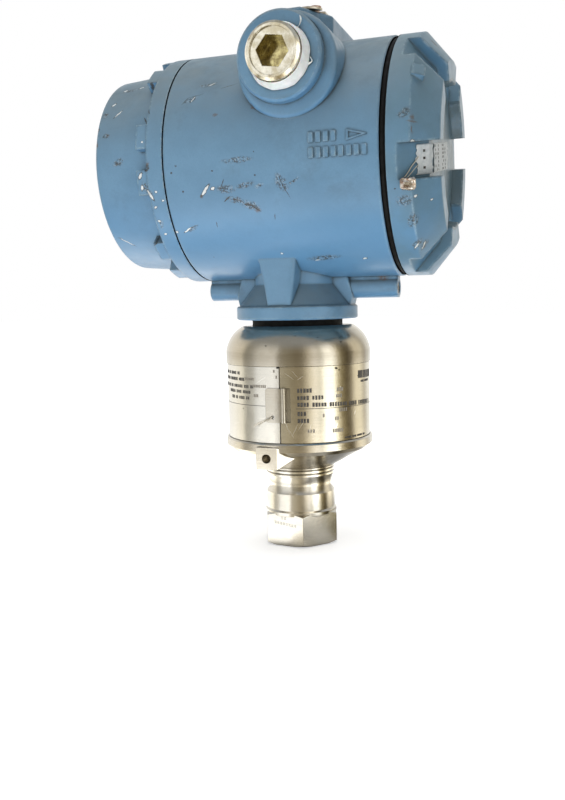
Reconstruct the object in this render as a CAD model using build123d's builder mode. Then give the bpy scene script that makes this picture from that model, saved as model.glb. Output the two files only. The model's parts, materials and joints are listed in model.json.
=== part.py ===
from build123d import *
import math
import os

# Pressure transmitter: a cast aluminium housing with two screwed covers, turning on the neck
# of a stainless sensor module that ends in a hexagonal female process connection.
# The frame: Z up from the mouth of the process connection, X along the housing towards the
# terminal cover, -Y towards the plugged conduit entry. Millimetres.

# Driving sizes: housing barrel
axis_height = 163.0
barrel_radius = 47.5
chamber_wall = 8.0
thread_wall = 6.0
meter_rim = -39.2
terminal_rim = 47.3
cover_bore_depth = 14.0
divider_face = 0.0
divider_thickness = 4.0
rim_chamfer = 0.5

# Driving sizes: conduit entries and top pad, set in from or standing out of the barrel's surface
conduit_x = 11.1
conduit_sink = 15.1
conduit_stand = 4.5
conduit_bore_radius = 10.6
conduit_bore_depth = 18.0
conduit_passage_radius = 7.0
conduit_passage_end = 12.0
entry_radius = 16.5
entry_chamfer = 0.9
collar_x = 12.5
collar_sink = 17.3
collar_inset = 0.2
collar_radius = 19.5
collar_round = 2.0
pad_stand = 6.3
pad_half_width = 12.4
pad_half_length = 36.0
pad_straight_half = 20.0
pad_nose_half = 4.0
pad_depth = 26.0
pad_round = 1.2

# Driving sizes: neck of the housing
neck_rise = 11.55
flange_radius = 26.3
flange_thickness = 5.8
flange_chamfer = 0.6
neck_core_radius = 18.0
skirt_foot_radius = 25.0
skirt_height = 9.0
rib_foot_width = 10.4
rib_top_width = 16.0
rib_foot_reach = 24.6
rib_top_reach = 26.2
rib_back = 12.0
rib_round = 1.0
web_thickness = 9.0
web_lean = 4.0
web_lip = 1.0
lock_boss_radius = 4.2
lock_boss_stand = 4.7
lock_boss_end = 45.0
lock_boss_web = 5.0
neck_bore_radius = 16.5
neck_bore_depth = 15.8
passage_radius = 6.0
passage_x = -10.0

# Driving sizes: sensor module, its lower half up from the hexagon, its upper half down from the housing
hex_across_flats = 30.4
hex_height = 14.0
hex_turn = 50.1
process_bore_radius = 10.3
process_bore_depth = 17.0
pressure_port_radius = 3.0
stem_radius = 15.2
stem_length = 20.0
waist_radius = 14.1
cone_height = 8.5
cone_lip = 1.7
cone_inset = 1.8
bead_stand = 1.05
bead_height = 3.6
band_radius = 31.15
band_thickness = 0.4
shroud_stand = 0.35
shroud_wall = 2.4
shroud_collar = 5.4
dome_rise = 10.6
dome_inset = 7.5
dome_middle_inset = 2.4
dome_middle_rise = 6.1
seal_radius = 19.7
seal_height = 2.5
lug_width = 9.0
lug_height = 9.2
lug_left = -8.5
lug_drop = 7.1
lug_stand = 0.8
lug_hole_radius = 1.9
lug_hole_depth = 7.0
lug_reach = 16.0

# Driving sizes: covers
cover_skirt_length = 13.0
cover_skirt_wall = 3.6
seal_gap = 2.0
cover_rim_width = 9.2
crown_cone_length = 9.3
crown_cone_inset = 11.2
crown_recess_radius = 28.5
crown_recess_depth = 4.5
crown_recess_draft = 0.8
crown_floor = 3.4
crown_inner_step = 3.0
crown_inner_length = 5.5
slot_count = 6
slot_width = 13.0
slot_phase = -9.5
slot_ramp_start = 5.0
slot_ramp_foot = 34.0
meter_seam = 0.2
collar_width = 7.0
meter_root_inset = 4.8
meter_end_inset = 6.9
meter_length = 34.0
meter_end_round = 1.6
lug_block_length = 4.8
lug_block_span = 12.0
lug_block_offset = 11.0
lug_block_inset = 0.4
lug_block_depth = 6.1
pocket_depth = 2.0
pocket_span = 20.0
pocket_rim = 1.3

# Driving sizes: window, display and electronics
window_radius = 31.0
window_wall = 3.0
glass_clearance = 1.6
glass_thickness = 6.0
gasket_thickness = 0.8
ring_width = 4.0
ring_thickness = 3.0
display_radius = 33.0
display_thickness = 12.0
display_standoff = 10.0
display_glass = (46.0, 28.0, 1.6)
display_leg_radius = 2.6
display_leg_circle = 28.0
carrier_clearance = 3.5
carrier_length = 22.0
carrier_wall = 1.8
board_thickness = 1.6
board_inset = 1.5

# Driving sizes: terminal block and its screws
block_clearance = 3.0
block_thickness = 15.0
block_flat = 19.0
barrier_width = 1.8
barrier_length = 20.0
barrier_height = 4.0
barrier_rise = 4.0
terminal_pitch = 17.0
terminal_drop = 4.0

# Clearances
running_gap = 0.05
moving_gap = 0.3
face_gap = 0.05
seat_gap = 0.1
skin_gap = 0.02

# Places worked out from the driving sizes
lengthwise = Plane(origin=(0, 0, axis_height), x_dir=(1, 0, 0), z_dir=(0, -1, 0))
barrel_axis = Axis((0, 0, axis_height), (1, 0, 0))
chamber_radius = barrel_radius - chamber_wall
cover_bore_radius = barrel_radius - thread_wall
conduit_rise = barrel_radius - conduit_sink
conduit_face = barrel_radius + conduit_stand
collar_rise = barrel_radius - collar_sink
collar_face = barrel_radius - collar_inset
pad_rise = barrel_radius + pad_stand
pad_top = axis_height + pad_rise
lock_boss_drop = barrel_radius + lock_boss_stand
flange_top = axis_height - barrel_radius - neck_rise
flange_bottom = flange_top - flange_thickness
seal_top = flange_bottom - face_gap
dome_height = seal_top - seal_height
dome_start = dome_height - dome_rise
band_top = dome_start - shroud_collar
stem_top = hex_height + stem_length
cone_top = stem_top + cone_height
bead_bottom = cone_top + cone_lip
bead_top = bead_bottom + bead_height
bead_radius = band_radius + bead_stand
cone_edge_radius = bead_radius - cone_inset
shroud_radius = band_radius + shroud_stand
dome_top_radius = shroud_radius - dome_inset
dome_middle = (shroud_radius - dome_middle_inset, dome_start + dome_middle_rise)
lug_bottom = bead_bottom - lug_drop
lug_face = bead_radius + lug_stand
neck_bore_top = flange_bottom + neck_bore_depth
skirt_radius = cover_bore_radius - moving_gap
skirt_inner_radius = skirt_radius - cover_skirt_wall
terminal_face = terminal_rim + seal_gap
crown_base = terminal_face + cover_rim_width
crown_top = crown_base + crown_cone_length
crown_radius = barrel_radius - crown_cone_inset
crown_recess = crown_top - crown_recess_depth
meter_face = meter_rim - meter_seam
collar_end = meter_face - collar_width
meter_end = meter_face - meter_length
meter_root_radius = barrel_radius - meter_root_inset
meter_end_radius = barrel_radius - meter_end_inset
window_seat = meter_end + window_wall
glass_radius = skirt_inner_radius - glass_clearance
carrier_radius = chamber_radius - carrier_clearance
board_radius = carrier_radius - board_inset
block_radius = chamber_radius - block_clearance
divider_back = divider_face - divider_thickness
carrier_front = divider_back - carrier_length
board_front = carrier_front - board_thickness


def across(x):
    """Plane square to the barrel at station x: local x along +Y, local y up."""
    return Plane(origin=(x, 0, axis_height), x_dir=(0, 1, 0), z_dir=(1, 0, 0))


def entry_plane(y, x=conduit_x, rise=conduit_rise):
    """Plane facing out of the front (y < 0) or rear (y > 0) conduit entry."""
    side = 1 if y > 0 else -1
    return Plane(origin=(x, y, axis_height + rise), x_dir=(-side, 0, 0), z_dir=(0, side, 0))


def spoke_plane(angle):
    """Plane through the barrel axis: local x along the axis, local y out at angle above -Y."""
    turn = math.radians(angle)
    tangent = (0, -math.sin(turn), -math.cos(turn))
    return Plane(origin=(0, 0, axis_height), x_dir=(1, 0, 0), z_dir=tangent)


def turn_profile(points, plane, axis):
    """Revolve a closed straight-sided profile inside the current part."""
    with BuildSketch(plane) as profile:
        with BuildLine():
            Polyline(*points, close=True)
        make_face()
    revolve(profile.sketch, axis=axis)


def rod(plane, radius, length, mode=Mode.ADD):
    """Round bar or hole inside the current part, along the plane's normal."""
    with BuildSketch(plane) as disc:
        Circle(radius)
    extrude(disc.sketch, amount=length, mode=mode)


def sector(plane, inner, outer, middle, span):
    """Sketch of a ring sector on the plane; middle is an angle above -Y."""
    start = 180 - middle - span / 2
    with BuildSketch(plane) as piece:
        with BuildLine():
            far = CenterArc((0, 0), outer, start, span)
            near = CenterArc((0, 0), inner, start, span)
            Line(far @ 0, near @ 0)
            Line(far @ 1, near @ 1)
        make_face()
    return piece.sketch


def save(piece, name):
    piece.part.label = name
    export_step(piece.part, "parts/" + name + ".step")


os.makedirs("parts", exist_ok=True)

# Housing: barrel, conduit entries, top pad, neck with flange, ribs and lock screw bosses
entry_sides = (-1, 1)
button_radius = 4.0
button_pitch = 17.0
button_travel = 1.5
button_height = 4.6
button_recess = 0.6
boot_height = 2.6
button_pocket = button_recess + button_height + boot_height
plate_thickness = 0.8
plate_inset = 2.2
plate_screw_x = 7.0
plate_screw_y = 26.0
plate_screw_radius = 1.5
set_screw_radius = 2.0
set_screw_length = 8.0
lock_screw_radius = 2.4
lock_screw_length = 10.0
feedthrough_radius = 5.0
feedthrough_drop = 8.0
screw_well = 2.0
plate_screw_depth = 6.0
mark_lift = 0.4
mark_depth = 2.0
mark_origin = (20.7, -barrel_radius - mark_lift, axis_height)
bar_rows = [(3.0, 4), (-2.6, 8)]
bar_start = 1.0
bar_pitch = 2.9
bar_size = (1.9, 3.8)
arrow_x = 14.5
arrow_rise = 2.9
arrow_length = 7.9
arrow_half = 2.1
arrow_border = 0.9

with BuildPart() as housing:
    rod(across(meter_rim), barrel_radius, terminal_rim - meter_rim)
    chamfer(housing.edges().filter_by(GeomType.CIRCLE), rim_chamfer)
    for side in entry_sides:
        with BuildPart(mode=Mode.PRIVATE) as entry:
            rod(entry_plane(side * conduit_face), entry_radius, -conduit_face)
            rim_edge = entry.edges().filter_by(GeomType.CIRCLE).sort_by(Axis.Y)[0 if side < 0 else -1]
            chamfer(rim_edge, entry_chamfer)
        add(entry.part)
        with BuildPart(mode=Mode.PRIVATE) as entry_collar:
            rod(entry_plane(side * collar_face, collar_x, collar_rise), collar_radius, -collar_face)
            rim_edge = entry_collar.edges().filter_by(GeomType.CIRCLE).sort_by(Axis.Y)[0 if side < 0 else -1]
            fillet(rim_edge, collar_round)
        add(entry_collar.part)
    # Top pad with angled ends over the two entries
    with BuildPart(mode=Mode.PRIVATE) as top_pad:
        with BuildSketch(Plane.XY.offset(pad_top - pad_depth)):
            with Locations((conduit_x, 0)):
                Polygon(
                    (pad_half_width, -pad_straight_half),
                    (pad_nose_half, -pad_half_length),
                    (-pad_nose_half, -pad_half_length),
                    (-pad_half_width, -pad_straight_half),
                    (-pad_half_width, pad_straight_half),
                    (-pad_nose_half, pad_half_length),
                    (pad_nose_half, pad_half_length),
                    (pad_half_width, pad_straight_half),
                )
        extrude(amount=pad_depth)
        fillet(top_pad.faces().sort_by(Axis.Z)[-1].edges(), pad_round)
    add(top_pad.part)
    # Neck: flange, sloping skirt, core, two flat-faced ribs and the lock screw bosses
    core_top = axis_height - chamber_radius
    with BuildPart(mode=Mode.PRIVATE) as flange:
        rod(Plane.XY.offset(flange_bottom), flange_radius, flange_thickness)
        chamfer(flange.edges().filter_by(GeomType.CIRCLE), flange_chamfer)
    add(flange.part)
    skirt_profile = [
        (0, flange_top),
        (skirt_foot_radius, flange_top),
        (neck_core_radius, flange_top + skirt_height),
        (neck_core_radius, core_top),
        (0, core_top),
    ]
    turn_profile(skirt_profile, Plane.XZ, Axis.Z)
    for side in entry_sides:
        with BuildPart(mode=Mode.PRIVATE) as rib:
            for height, width, reach in (
                (flange_top, rib_foot_width, rib_foot_reach),
                (core_top, rib_top_width, rib_top_reach),
            ):
                with BuildSketch(Plane.XY.offset(height)):
                    with Locations((0, side * (rib_back + reach) / 2)):
                        RectangleRounded(width, reach - rib_back, rib_round)
            loft()
        add(rib.part)
    with BuildSketch(Plane.XZ.offset(-web_thickness / 2)):
        with BuildLine():
            Polyline(
                (-skirt_foot_radius, flange_top),
                (skirt_foot_radius, flange_top),
                (skirt_foot_radius + web_lip, flange_top + web_lean),
                (neck_core_radius + web_lean, core_top),
                (-neck_core_radius - web_lean, core_top),
                (-skirt_foot_radius - web_lip, flange_top + web_lean),
                close=True,
            )
        make_face()
    extrude(amount=web_thickness)
    lock_boss_start = meter_rim
    lock_plane = Plane(origin=(lock_boss_start, 0, axis_height - lock_boss_drop), z_dir=(1, 0, 0))
    rod(lock_plane, lock_boss_radius, lock_boss_end - lock_boss_start)
    lock_length = lock_boss_end - lock_boss_start
    with BuildSketch(Plane.XY.offset(axis_height - lock_boss_drop)):
        with Locations((lock_boss_start + lock_length / 2, 0)):
            Rectangle(lock_length, lock_boss_web)
    extrude(amount=lock_boss_drop - chamber_radius)
    # Raised marks: two rows of plain bars and an arrow outline
    with BuildSketch(Plane(origin=mark_origin, x_dir=(1, 0, 0), z_dir=(0, -1, 0))):
        for rise, count in bar_rows:
            with Locations((bar_start + (count - 1) * bar_pitch / 2, rise)):
                with GridLocations(bar_pitch, bar_pitch, count, 1):
                    Rectangle(*bar_size)
        with Locations((arrow_x, arrow_rise)):
            Polygon((0, arrow_half), (0, -arrow_half), (arrow_length, 0), align=None)
            inner_half = arrow_half - arrow_border
            inner_tip = arrow_length - 2 * arrow_border
            Polygon(
                (arrow_border, inner_half),
                (arrow_border, -inner_half),
                (inner_tip, 0),
                align=None,
                mode=Mode.SUBTRACT,
            )
    extrude(amount=-mark_depth)
    # Chambers, divider and bores
    rod(across(divider_face), chamber_radius, terminal_rim - divider_face, Mode.SUBTRACT)
    rod(across(terminal_rim - cover_bore_depth), cover_bore_radius, cover_bore_depth, Mode.SUBTRACT)
    rod(across(meter_rim), chamber_radius, divider_back - meter_rim, Mode.SUBTRACT)
    rod(across(meter_rim), cover_bore_radius, cover_bore_depth, Mode.SUBTRACT)
    for side in entry_sides:
        rod(entry_plane(side * conduit_face), conduit_bore_radius, -conduit_bore_depth, Mode.SUBTRACT)
        passage_length = conduit_face - conduit_passage_end
        rod(entry_plane(side * conduit_face), conduit_passage_radius, -passage_length, Mode.SUBTRACT)
    rod(Plane.XY.offset(flange_bottom), neck_bore_radius, neck_bore_depth, Mode.SUBTRACT)
    passage_plane = Plane(origin=(passage_x, 0, neck_bore_top))
    rod(passage_plane, passage_radius, axis_height - passage_radius - neck_bore_top, Mode.SUBTRACT)
    feedthrough_plane = Plane(
        origin=(divider_back, 0, axis_height - feedthrough_drop), x_dir=(0, 1, 0), z_dir=(1, 0, 0)
    )
    rod(feedthrough_plane, feedthrough_radius, divider_thickness, Mode.SUBTRACT)
    # Pockets for the two buttons, the plate screws, the lock screws and the set screw
    for side in entry_sides:
        button_plane = Plane(origin=(conduit_x, side * button_pitch / 2, pad_top - button_pocket))
        rod(button_plane, button_radius + moving_gap, button_pocket, Mode.SUBTRACT)
        screw_foot = pad_top - plate_screw_depth
        screw_plane = Plane(origin=(conduit_x - side * plate_screw_x, side * plate_screw_y, screw_foot))
        rod(screw_plane, plate_screw_radius, plate_screw_depth, Mode.SUBTRACT)
        end = lock_boss_end if side > 0 else lock_boss_start
        lock_hole = Plane(origin=(end, 0, axis_height - lock_boss_drop), z_dir=(side, 0, 0))
        rod(lock_hole, lock_screw_radius, -lock_screw_length - screw_well, Mode.SUBTRACT)
    set_screw_plane = Plane(
        origin=(0, 0, flange_bottom + flange_thickness / 2), x_dir=(0, 0, 1), z_dir=(0, 1, 0)
    )
    rod(set_screw_plane, set_screw_radius, flange_radius + 1.0, Mode.SUBTRACT)
save(housing, "housing")


def ring(plane, outer, inner, length):
    """Flat ring inside the current part, along the plane's normal."""
    rod(plane, outer, length)
    rod(plane, inner, length, Mode.SUBTRACT)


# Process fitting: hexagon with the female bore, and the stem with its two rings and waist
stem_flare = 0.7
ring_pitch = 1.6
ring_groove = 0.4
ring_rise = 3.6
waist_start = 8.7
corner_chamfer = (1.0, 1.9)
corner_gap = 0.2
sensor_floor = bead_bottom - 1.0
with BuildPart() as process_fitting:
    with BuildSketch(Plane.XY):
        RegularPolygon(hex_across_flats / 2, 6, major_radius=False, rotation=hex_turn)
    extrude(amount=hex_height)
    corner_radius = hex_across_flats / math.sqrt(3)
    with BuildPart(mode=Mode.PRIVATE) as corner_cut:
        Cylinder(corner_radius + corner_gap, hex_height, align=(Align.CENTER, Align.CENTER, Align.MIN))
        chamfer(corner_cut.edges().filter_by(GeomType.CIRCLE), *corner_chamfer)
    add(corner_cut.part, mode=Mode.INTERSECT)
    with BuildSketch(Plane.XZ):
        with BuildLine():
            stem_foot = hex_height + waist_start
            stem_rise = stem_top - ring_rise
            groove_radius = stem_radius - ring_groove
            waist_middle = (waist_radius, (stem_foot + stem_rise) / 2)
            Polyline(
                (0, hex_height - stem_flare),
                (stem_radius + stem_flare, hex_height - stem_flare),
                (stem_radius + stem_flare, hex_height + stem_flare),
                (stem_radius, hex_height + 2 * stem_flare),
                (stem_radius, stem_foot),
            )
            ThreePointArc((stem_radius, stem_foot), waist_middle, (stem_radius, stem_rise))
            Polyline(
                (stem_radius, stem_rise),
                (stem_radius, stem_rise + ring_pitch / 2),
                (groove_radius, stem_rise + ring_pitch / 2 + ring_groove),
                (stem_radius, stem_rise + ring_pitch / 2 + 2 * ring_groove),
                (stem_radius, stem_rise + 3 * ring_pitch / 2),
                (groove_radius, stem_rise + 3 * ring_pitch / 2 + ring_groove),
                (stem_radius, stem_rise + 3 * ring_pitch / 2 + 2 * ring_groove),
                (stem_radius, stem_top),
                (0, stem_top),
                (0, hex_height - stem_flare),
            )
        make_face()
    revolve(axis=Axis.Z)
    rod(Plane.XY, process_bore_radius, process_bore_depth, Mode.SUBTRACT)
    rod(Plane.XY.offset(process_bore_depth), pressure_port_radius, stem_top - process_bore_depth, Mode.SUBTRACT)
save(process_fitting, "process_fitting")

# Sensor body: cone, bead, the spigot inside the shroud and the drilled lug
spigot_gap = 1.0
spigot_radius = shroud_radius - shroud_wall - spigot_gap
spigot_height = 8.0
spigot_wall = 2.5
bead_chamfer = 0.6
gusset_length = 7.5
gusset_rise = 5.0
gusset_slant = 7.0
with BuildPart() as sensor_body:
    body_profile = [
        (0, stem_top),
        (stem_radius, stem_top),
        (cone_edge_radius, cone_top),
        (bead_radius, bead_bottom),
        (bead_radius, bead_top - bead_chamfer),
        (bead_radius - bead_chamfer, bead_top),
        (spigot_radius, bead_top),
        (spigot_radius, bead_top + spigot_height),
        (spigot_radius - spigot_wall, bead_top + spigot_height),
        (spigot_radius - spigot_wall, sensor_floor),
        (0, sensor_floor),
    ]
    turn_profile(body_profile, Plane.XZ, Axis.Z)
    # Lug with its gusset, reaching back into the cone
    lug_x = lug_left + lug_width / 2
    lug_z = lug_bottom + lug_height / 2
    lug_right = lug_left + lug_width
    gusset_end = lug_right + gusset_length
    with BuildPart(mode=Mode.PRIVATE) as lug:
        with BuildSketch(Plane.XZ.offset(lug_face)):
            with Locations((lug_x, lug_z)):
                Rectangle(lug_width, lug_height)
            with BuildLine():
                Polyline(
                    (lug_right, lug_bottom),
                    (lug_right, lug_bottom + lug_height),
                    (gusset_end, lug_bottom + gusset_rise),
                    close=True,
                )
            make_face()
        extrude(amount=-lug_reach)
        with BuildSketch(Plane.XY.offset(lug_bottom)):
            with BuildLine():
                Polyline((lug_right, -lug_face), (gusset_end, -lug_face), (gusset_end, gusset_slant - lug_face), close=True)
            make_face()
        extrude(amount=lug_height, mode=Mode.SUBTRACT)
    add(lug.part)
    lug_plane = Plane(origin=(lug_x, -lug_face, lug_z), x_dir=(1, 0, 0), z_dir=(0, -1, 0))
    rod(lug_plane, lug_hole_radius, -lug_hole_depth, Mode.SUBTRACT)
    # Pressure port, with the floor inside cleared of the lug
    floor_plane = Plane.XY.offset(sensor_floor)
    rod(floor_plane, spigot_radius - spigot_wall, bead_top + spigot_height - sensor_floor, Mode.SUBTRACT)
    rod(Plane.XY.offset(stem_top), pressure_port_radius, sensor_floor - stem_top, Mode.SUBTRACT)
save(sensor_body, "sensor_body")

# Isolating diaphragm: a thin wavy disc welded over the pressure port, inside the module
diaphragm_radius = 18.0
diaphragm_thickness = 0.5
diaphragm_wave = 0.6
wave_radii = (6.0, 10.0, 14.0)
wave_width = 1.0
with BuildPart() as isolating_diaphragm:
    rod(floor_plane, diaphragm_radius, diaphragm_thickness)
    for wave_radius in wave_radii:
        wave_plane = Plane.XY.offset(sensor_floor + diaphragm_thickness)
        ring(wave_plane, wave_radius + wave_width, wave_radius, diaphragm_wave)
save(isolating_diaphragm, "isolating_diaphragm")

# Sensor capsule on its weld collar, with the capillary tube, posts and board above it
capsule_radius = 15.0
capsule_height = 12.0
capsule_rim_radius = 21.0
capsule_rim_height = 2.0
capsule_cap_radius = 9.0
capsule_cap_height = 3.0
weld_collar_height = 3.0
capsule_rim = sensor_floor + weld_collar_height
capsule_start = capsule_rim + capsule_rim_height
capsule_end = capsule_start + capsule_height
with BuildPart() as weld_collar:
    ring(floor_plane, capsule_rim_radius, diaphragm_radius + seat_gap, weld_collar_height)
save(weld_collar, "weld_collar")
with BuildPart() as sensor_capsule:
    rod(Plane.XY.offset(capsule_rim), capsule_rim_radius, capsule_rim_height)
    rod(Plane.XY.offset(capsule_start), capsule_radius, capsule_height)
    rod(Plane.XY.offset(capsule_end), capsule_cap_radius, capsule_cap_height)
save(sensor_capsule, "sensor_capsule")
capsule_top = capsule_end + capsule_cap_height
tube_length = 6.0
sensor_board_base = capsule_top + tube_length
sensor_board_top = sensor_board_base + board_thickness
post_radius = 2.0
post_circle = 12.0
post_count = 3
with BuildPart() as board_posts:
    with BuildSketch(Plane.XY.offset(capsule_end)):
        with PolarLocations(post_circle, post_count):
            Circle(post_radius)
    extrude(amount=sensor_board_base - capsule_end)
save(board_posts, "board_posts")
sensor_board_radius = 22.0
chip_pitch = (13.0, 12.0)
chip_size = (7.0, 6.0)
chip_height = 1.8
with BuildPart() as sensor_board:
    rod(Plane.XY.offset(sensor_board_base), sensor_board_radius, board_thickness)
    with BuildSketch(Plane.XY.offset(sensor_board_top)):
        with GridLocations(*chip_pitch, 2, 2):
            Rectangle(*chip_size)
    extrude(amount=chip_height)
save(sensor_board, "sensor_board")
fill_tube_radius = 1.0
with BuildPart() as fill_tube:
    rod(Plane.XY.offset(capsule_top), fill_tube_radius, tube_length)
save(fill_tube, "fill_tube")

# Shroud: turned cylinder, step, dome, flat top and the neck that the housing turns on
neck_radius = neck_bore_radius - running_gap
neck_inner_radius = 12.0
neck_well = 2.0
neck_top = neck_bore_top - neck_well
shroud_thinning = 0.9
dome_wall_inset = 1.7
dome_shoulder = 1.0
shroud_inner = shroud_radius - shroud_wall - shroud_thinning
dome_inner_radius = dome_top_radius - dome_shoulder
dome_ceiling = dome_height - shroud_wall
dome_inner_middle = (dome_middle[0] - dome_wall_inset, dome_middle[1] - dome_wall_inset)
skirt_outer = band_radius - band_thickness - seat_gap / 2
with BuildPart() as module_shroud:
    with BuildSketch(Plane.XZ):
        with BuildLine():
            Polyline(
                (skirt_outer, bead_top),
                (skirt_outer, band_top),
                (shroud_radius, band_top),
                (shroud_radius, dome_start),
            )
            ThreePointArc((shroud_radius, dome_start), dome_middle, (dome_top_radius, dome_height))
            Polyline(
                (dome_top_radius, dome_height),
                (neck_radius, dome_height),
                (neck_radius, neck_top),
                (neck_inner_radius, neck_top),
                (neck_inner_radius, dome_ceiling),
                (dome_inner_radius, dome_ceiling),
            )
            ThreePointArc((dome_inner_radius, dome_ceiling), dome_inner_middle, (shroud_inner, dome_start))
            Polyline((shroud_inner, dome_start), (shroud_inner, bead_top), (skirt_outer, bead_top))
        make_face()
    revolve(axis=Axis.Z)
save(module_shroud, "module_shroud")

# Header plug in the neck, with its pins, and the neck seal under the flange
header_thickness = 4.0
pin_pitch = 3.0
pin_size = 0.9
pin_height = 1.2
ribbon_size = (5.0, 1.2)
with BuildPart() as neck_header:
    rod(Plane.XY.offset(neck_top - header_thickness), neck_inner_radius - seat_gap, header_thickness)
    with BuildSketch(Plane.XY.offset(neck_top)):
        with GridLocations(pin_pitch, pin_pitch, 4, 2):
            Rectangle(pin_size, pin_size)
    extrude(amount=pin_height)
save(neck_header, "neck_header")
with BuildPart() as header_cable:
    with BuildSketch(Plane.XY.offset(sensor_board_top)):
        Rectangle(*ribbon_size)
    extrude(amount=neck_top - header_thickness - sensor_board_top)
save(header_cable, "header_cable")
with BuildPart() as neck_seal:
    ring(Plane.XY.offset(dome_height), seal_radius, neck_radius + seat_gap, seal_height)
save(neck_seal, "neck_seal")

# Name plate: a thin band round the shroud, slit at the clasp, with a slot for the roll
band_margin = 0.2
band_bottom = bead_top + band_margin
band_height = band_top - band_margin - band_bottom
band_middle = band_bottom + band_height / 2
clasp_height = 14.2
slit_x = 1.8
slit_width = 0.5
slot_x = 5.2
roll_slot_width = 1.9
with BuildPart() as nameplate_band:
    ring(Plane.XY.offset(band_bottom), band_radius, band_radius - band_thickness, band_height)
    with BuildSketch(Plane.XZ):
        with Locations((slit_x, band_middle)):
            Rectangle(slit_width, band_height)
        with Locations((slot_x, band_middle)):
            Rectangle(roll_slot_width, clasp_height)
    extrude(amount=band_radius + band_thickness, mode=Mode.SUBTRACT)
save(nameplate_band, "nameplate_band")

# Clasp tab over the slit, its rolled edge, and the cut wire through its hole
tab_left = -4.4
tab_right = 2.6
tab_thickness = 0.5
tab_corner = 1.2
tab_hole_radius = 0.8
tab_hole_x = -1.1
tab_hole_rise = 2.2
roll_radius = 0.95
tab_width = tab_right - tab_left
tab_outer = band_radius + skin_gap + tab_thickness
clasp_low = band_middle - clasp_height / 2
tab_hole_z = clasp_low + tab_hole_rise
with BuildPart() as clasp_tab:
    ring(Plane.XY.offset(clasp_low), tab_outer, band_radius + skin_gap, clasp_height)
    with BuildSketch(Plane.XZ):
        with Locations((tab_left + tab_width / 2, band_middle)):
            RectangleRounded(tab_width, clasp_height, tab_corner)
    extrude(amount=tab_outer + tab_thickness, mode=Mode.INTERSECT)
    with BuildSketch(Plane.XZ):
        with Locations((tab_hole_x, tab_hole_z)):
            Circle(tab_hole_radius)
    extrude(amount=tab_outer + tab_thickness, mode=Mode.SUBTRACT)
save(clasp_tab, "clasp_tab")
with BuildPart() as clasp_pin:
    roll_x = tab_right + roll_radius
    roll_y = -math.sqrt((band_radius + roll_radius + face_gap) ** 2 - roll_x**2)
    rod(Plane(origin=(roll_x, roll_y, clasp_low)), roll_radius, clasp_height)
save(clasp_pin, "clasp_pin")
wire_radius = 0.3
wire_run = [(0, 0.1, 0), (-0.5, 1.6, -0.2), (-4.3, 1.5, -1.6), (-8.3, 0.2, -3.9)]
with BuildPart() as tag_wire:
    with BuildLine():
        wire_path = Polyline(*[(tab_hole_x + x, -band_radius - y, tab_hole_z + z) for x, y, z in wire_run])
    with BuildSketch(Plane(origin=wire_path @ 0, z_dir=wire_path % 0)):
        Circle(wire_radius)
    sweep(path=wire_path, transition=Transition.ROUND)
save(tag_wire, "tag_wire")

# Conduit plug with a hexagon socket, and the remains of the thread tape round it
plug_radius = conduit_bore_radius - seat_gap
plug_stand = 7.0
plug_depth = 14.0
plug_chamfer = 1.0
plug_rim = 2.0
plug_dish = 0.8
plug_face_y = -conduit_face - plug_stand
socket_across_flats = 10.9
socket_depth = 7.5
socket_turn = 52
with BuildPart() as conduit_plug:
    rod(entry_plane(plug_face_y), plug_radius, -plug_stand - plug_depth)
    plug_rims = conduit_plug.edges().filter_by(GeomType.CIRCLE).sort_by(Axis.Y)
    chamfer(plug_rims[0], plug_chamfer)
    rod(entry_plane(plug_face_y), plug_radius - plug_rim, -plug_dish, Mode.SUBTRACT)
    with BuildSketch(entry_plane(plug_face_y + plug_dish)):
        RegularPolygon(socket_across_flats / 2, 6, major_radius=False, rotation=socket_turn)
    extrude(amount=-socket_depth, mode=Mode.SUBTRACT)
save(conduit_plug, "conduit_plug")
wrap_thickness = 0.35
wrap_length = 4.6
with BuildPart() as thread_tape:
    wrap_inner = plug_radius + skin_gap
    ring(entry_plane(-conduit_face - face_gap), wrap_inner + wrap_thickness, wrap_inner, wrap_length)
save(thread_tape, "thread_tape")

# Top plate over the buttons: it turns on its rear screw and slips off the front one
plate_end_inset = 4.2
plate_corner = 6.0
plate_slot_lead = 1.0
plate_slot_span = 16.0
plate_screw_head = 2.3
plate_head_height = 1.1
plate_screw_foot = 5.5
drive_width = 0.8
drive_depth = 0.6
drive_turn = 35
pivot = (conduit_x - plate_screw_x, plate_screw_y)
catch = (conduit_x + plate_screw_x, -plate_screw_y)
plate_bottom = pad_top + face_gap
plate_top = plate_bottom + plate_thickness
catch_distance = math.hypot(catch[0] - pivot[0], catch[1] - pivot[1])
catch_angle = math.degrees(math.atan2(catch[1] - pivot[1], catch[0] - pivot[0]))
with BuildPart() as top_plate:
    with BuildSketch(Plane.XY.offset(plate_bottom)):
        with Locations((conduit_x, 0)):
            plate_width = 2 * (pad_half_width - plate_inset)
            plate_length = 2 * (pad_half_length - plate_end_inset)
            RectangleRounded(plate_width, plate_length, plate_corner)
        with Locations(pivot):
            Circle(plate_screw_radius + moving_gap / 2, mode=Mode.SUBTRACT)
        slot_path = CenterArc(
            pivot, catch_distance, catch_angle - plate_slot_lead, plate_slot_span, mode=Mode.PRIVATE
        )
        with BuildSketch(mode=Mode.PRIVATE) as catch_slot:
            SlotArc(slot_path, 2 * plate_screw_radius + 2 * moving_gap)
        add(catch_slot.sketch, mode=Mode.SUBTRACT)
    extrude(amount=plate_thickness)
save(top_plate, "top_plate")
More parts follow.
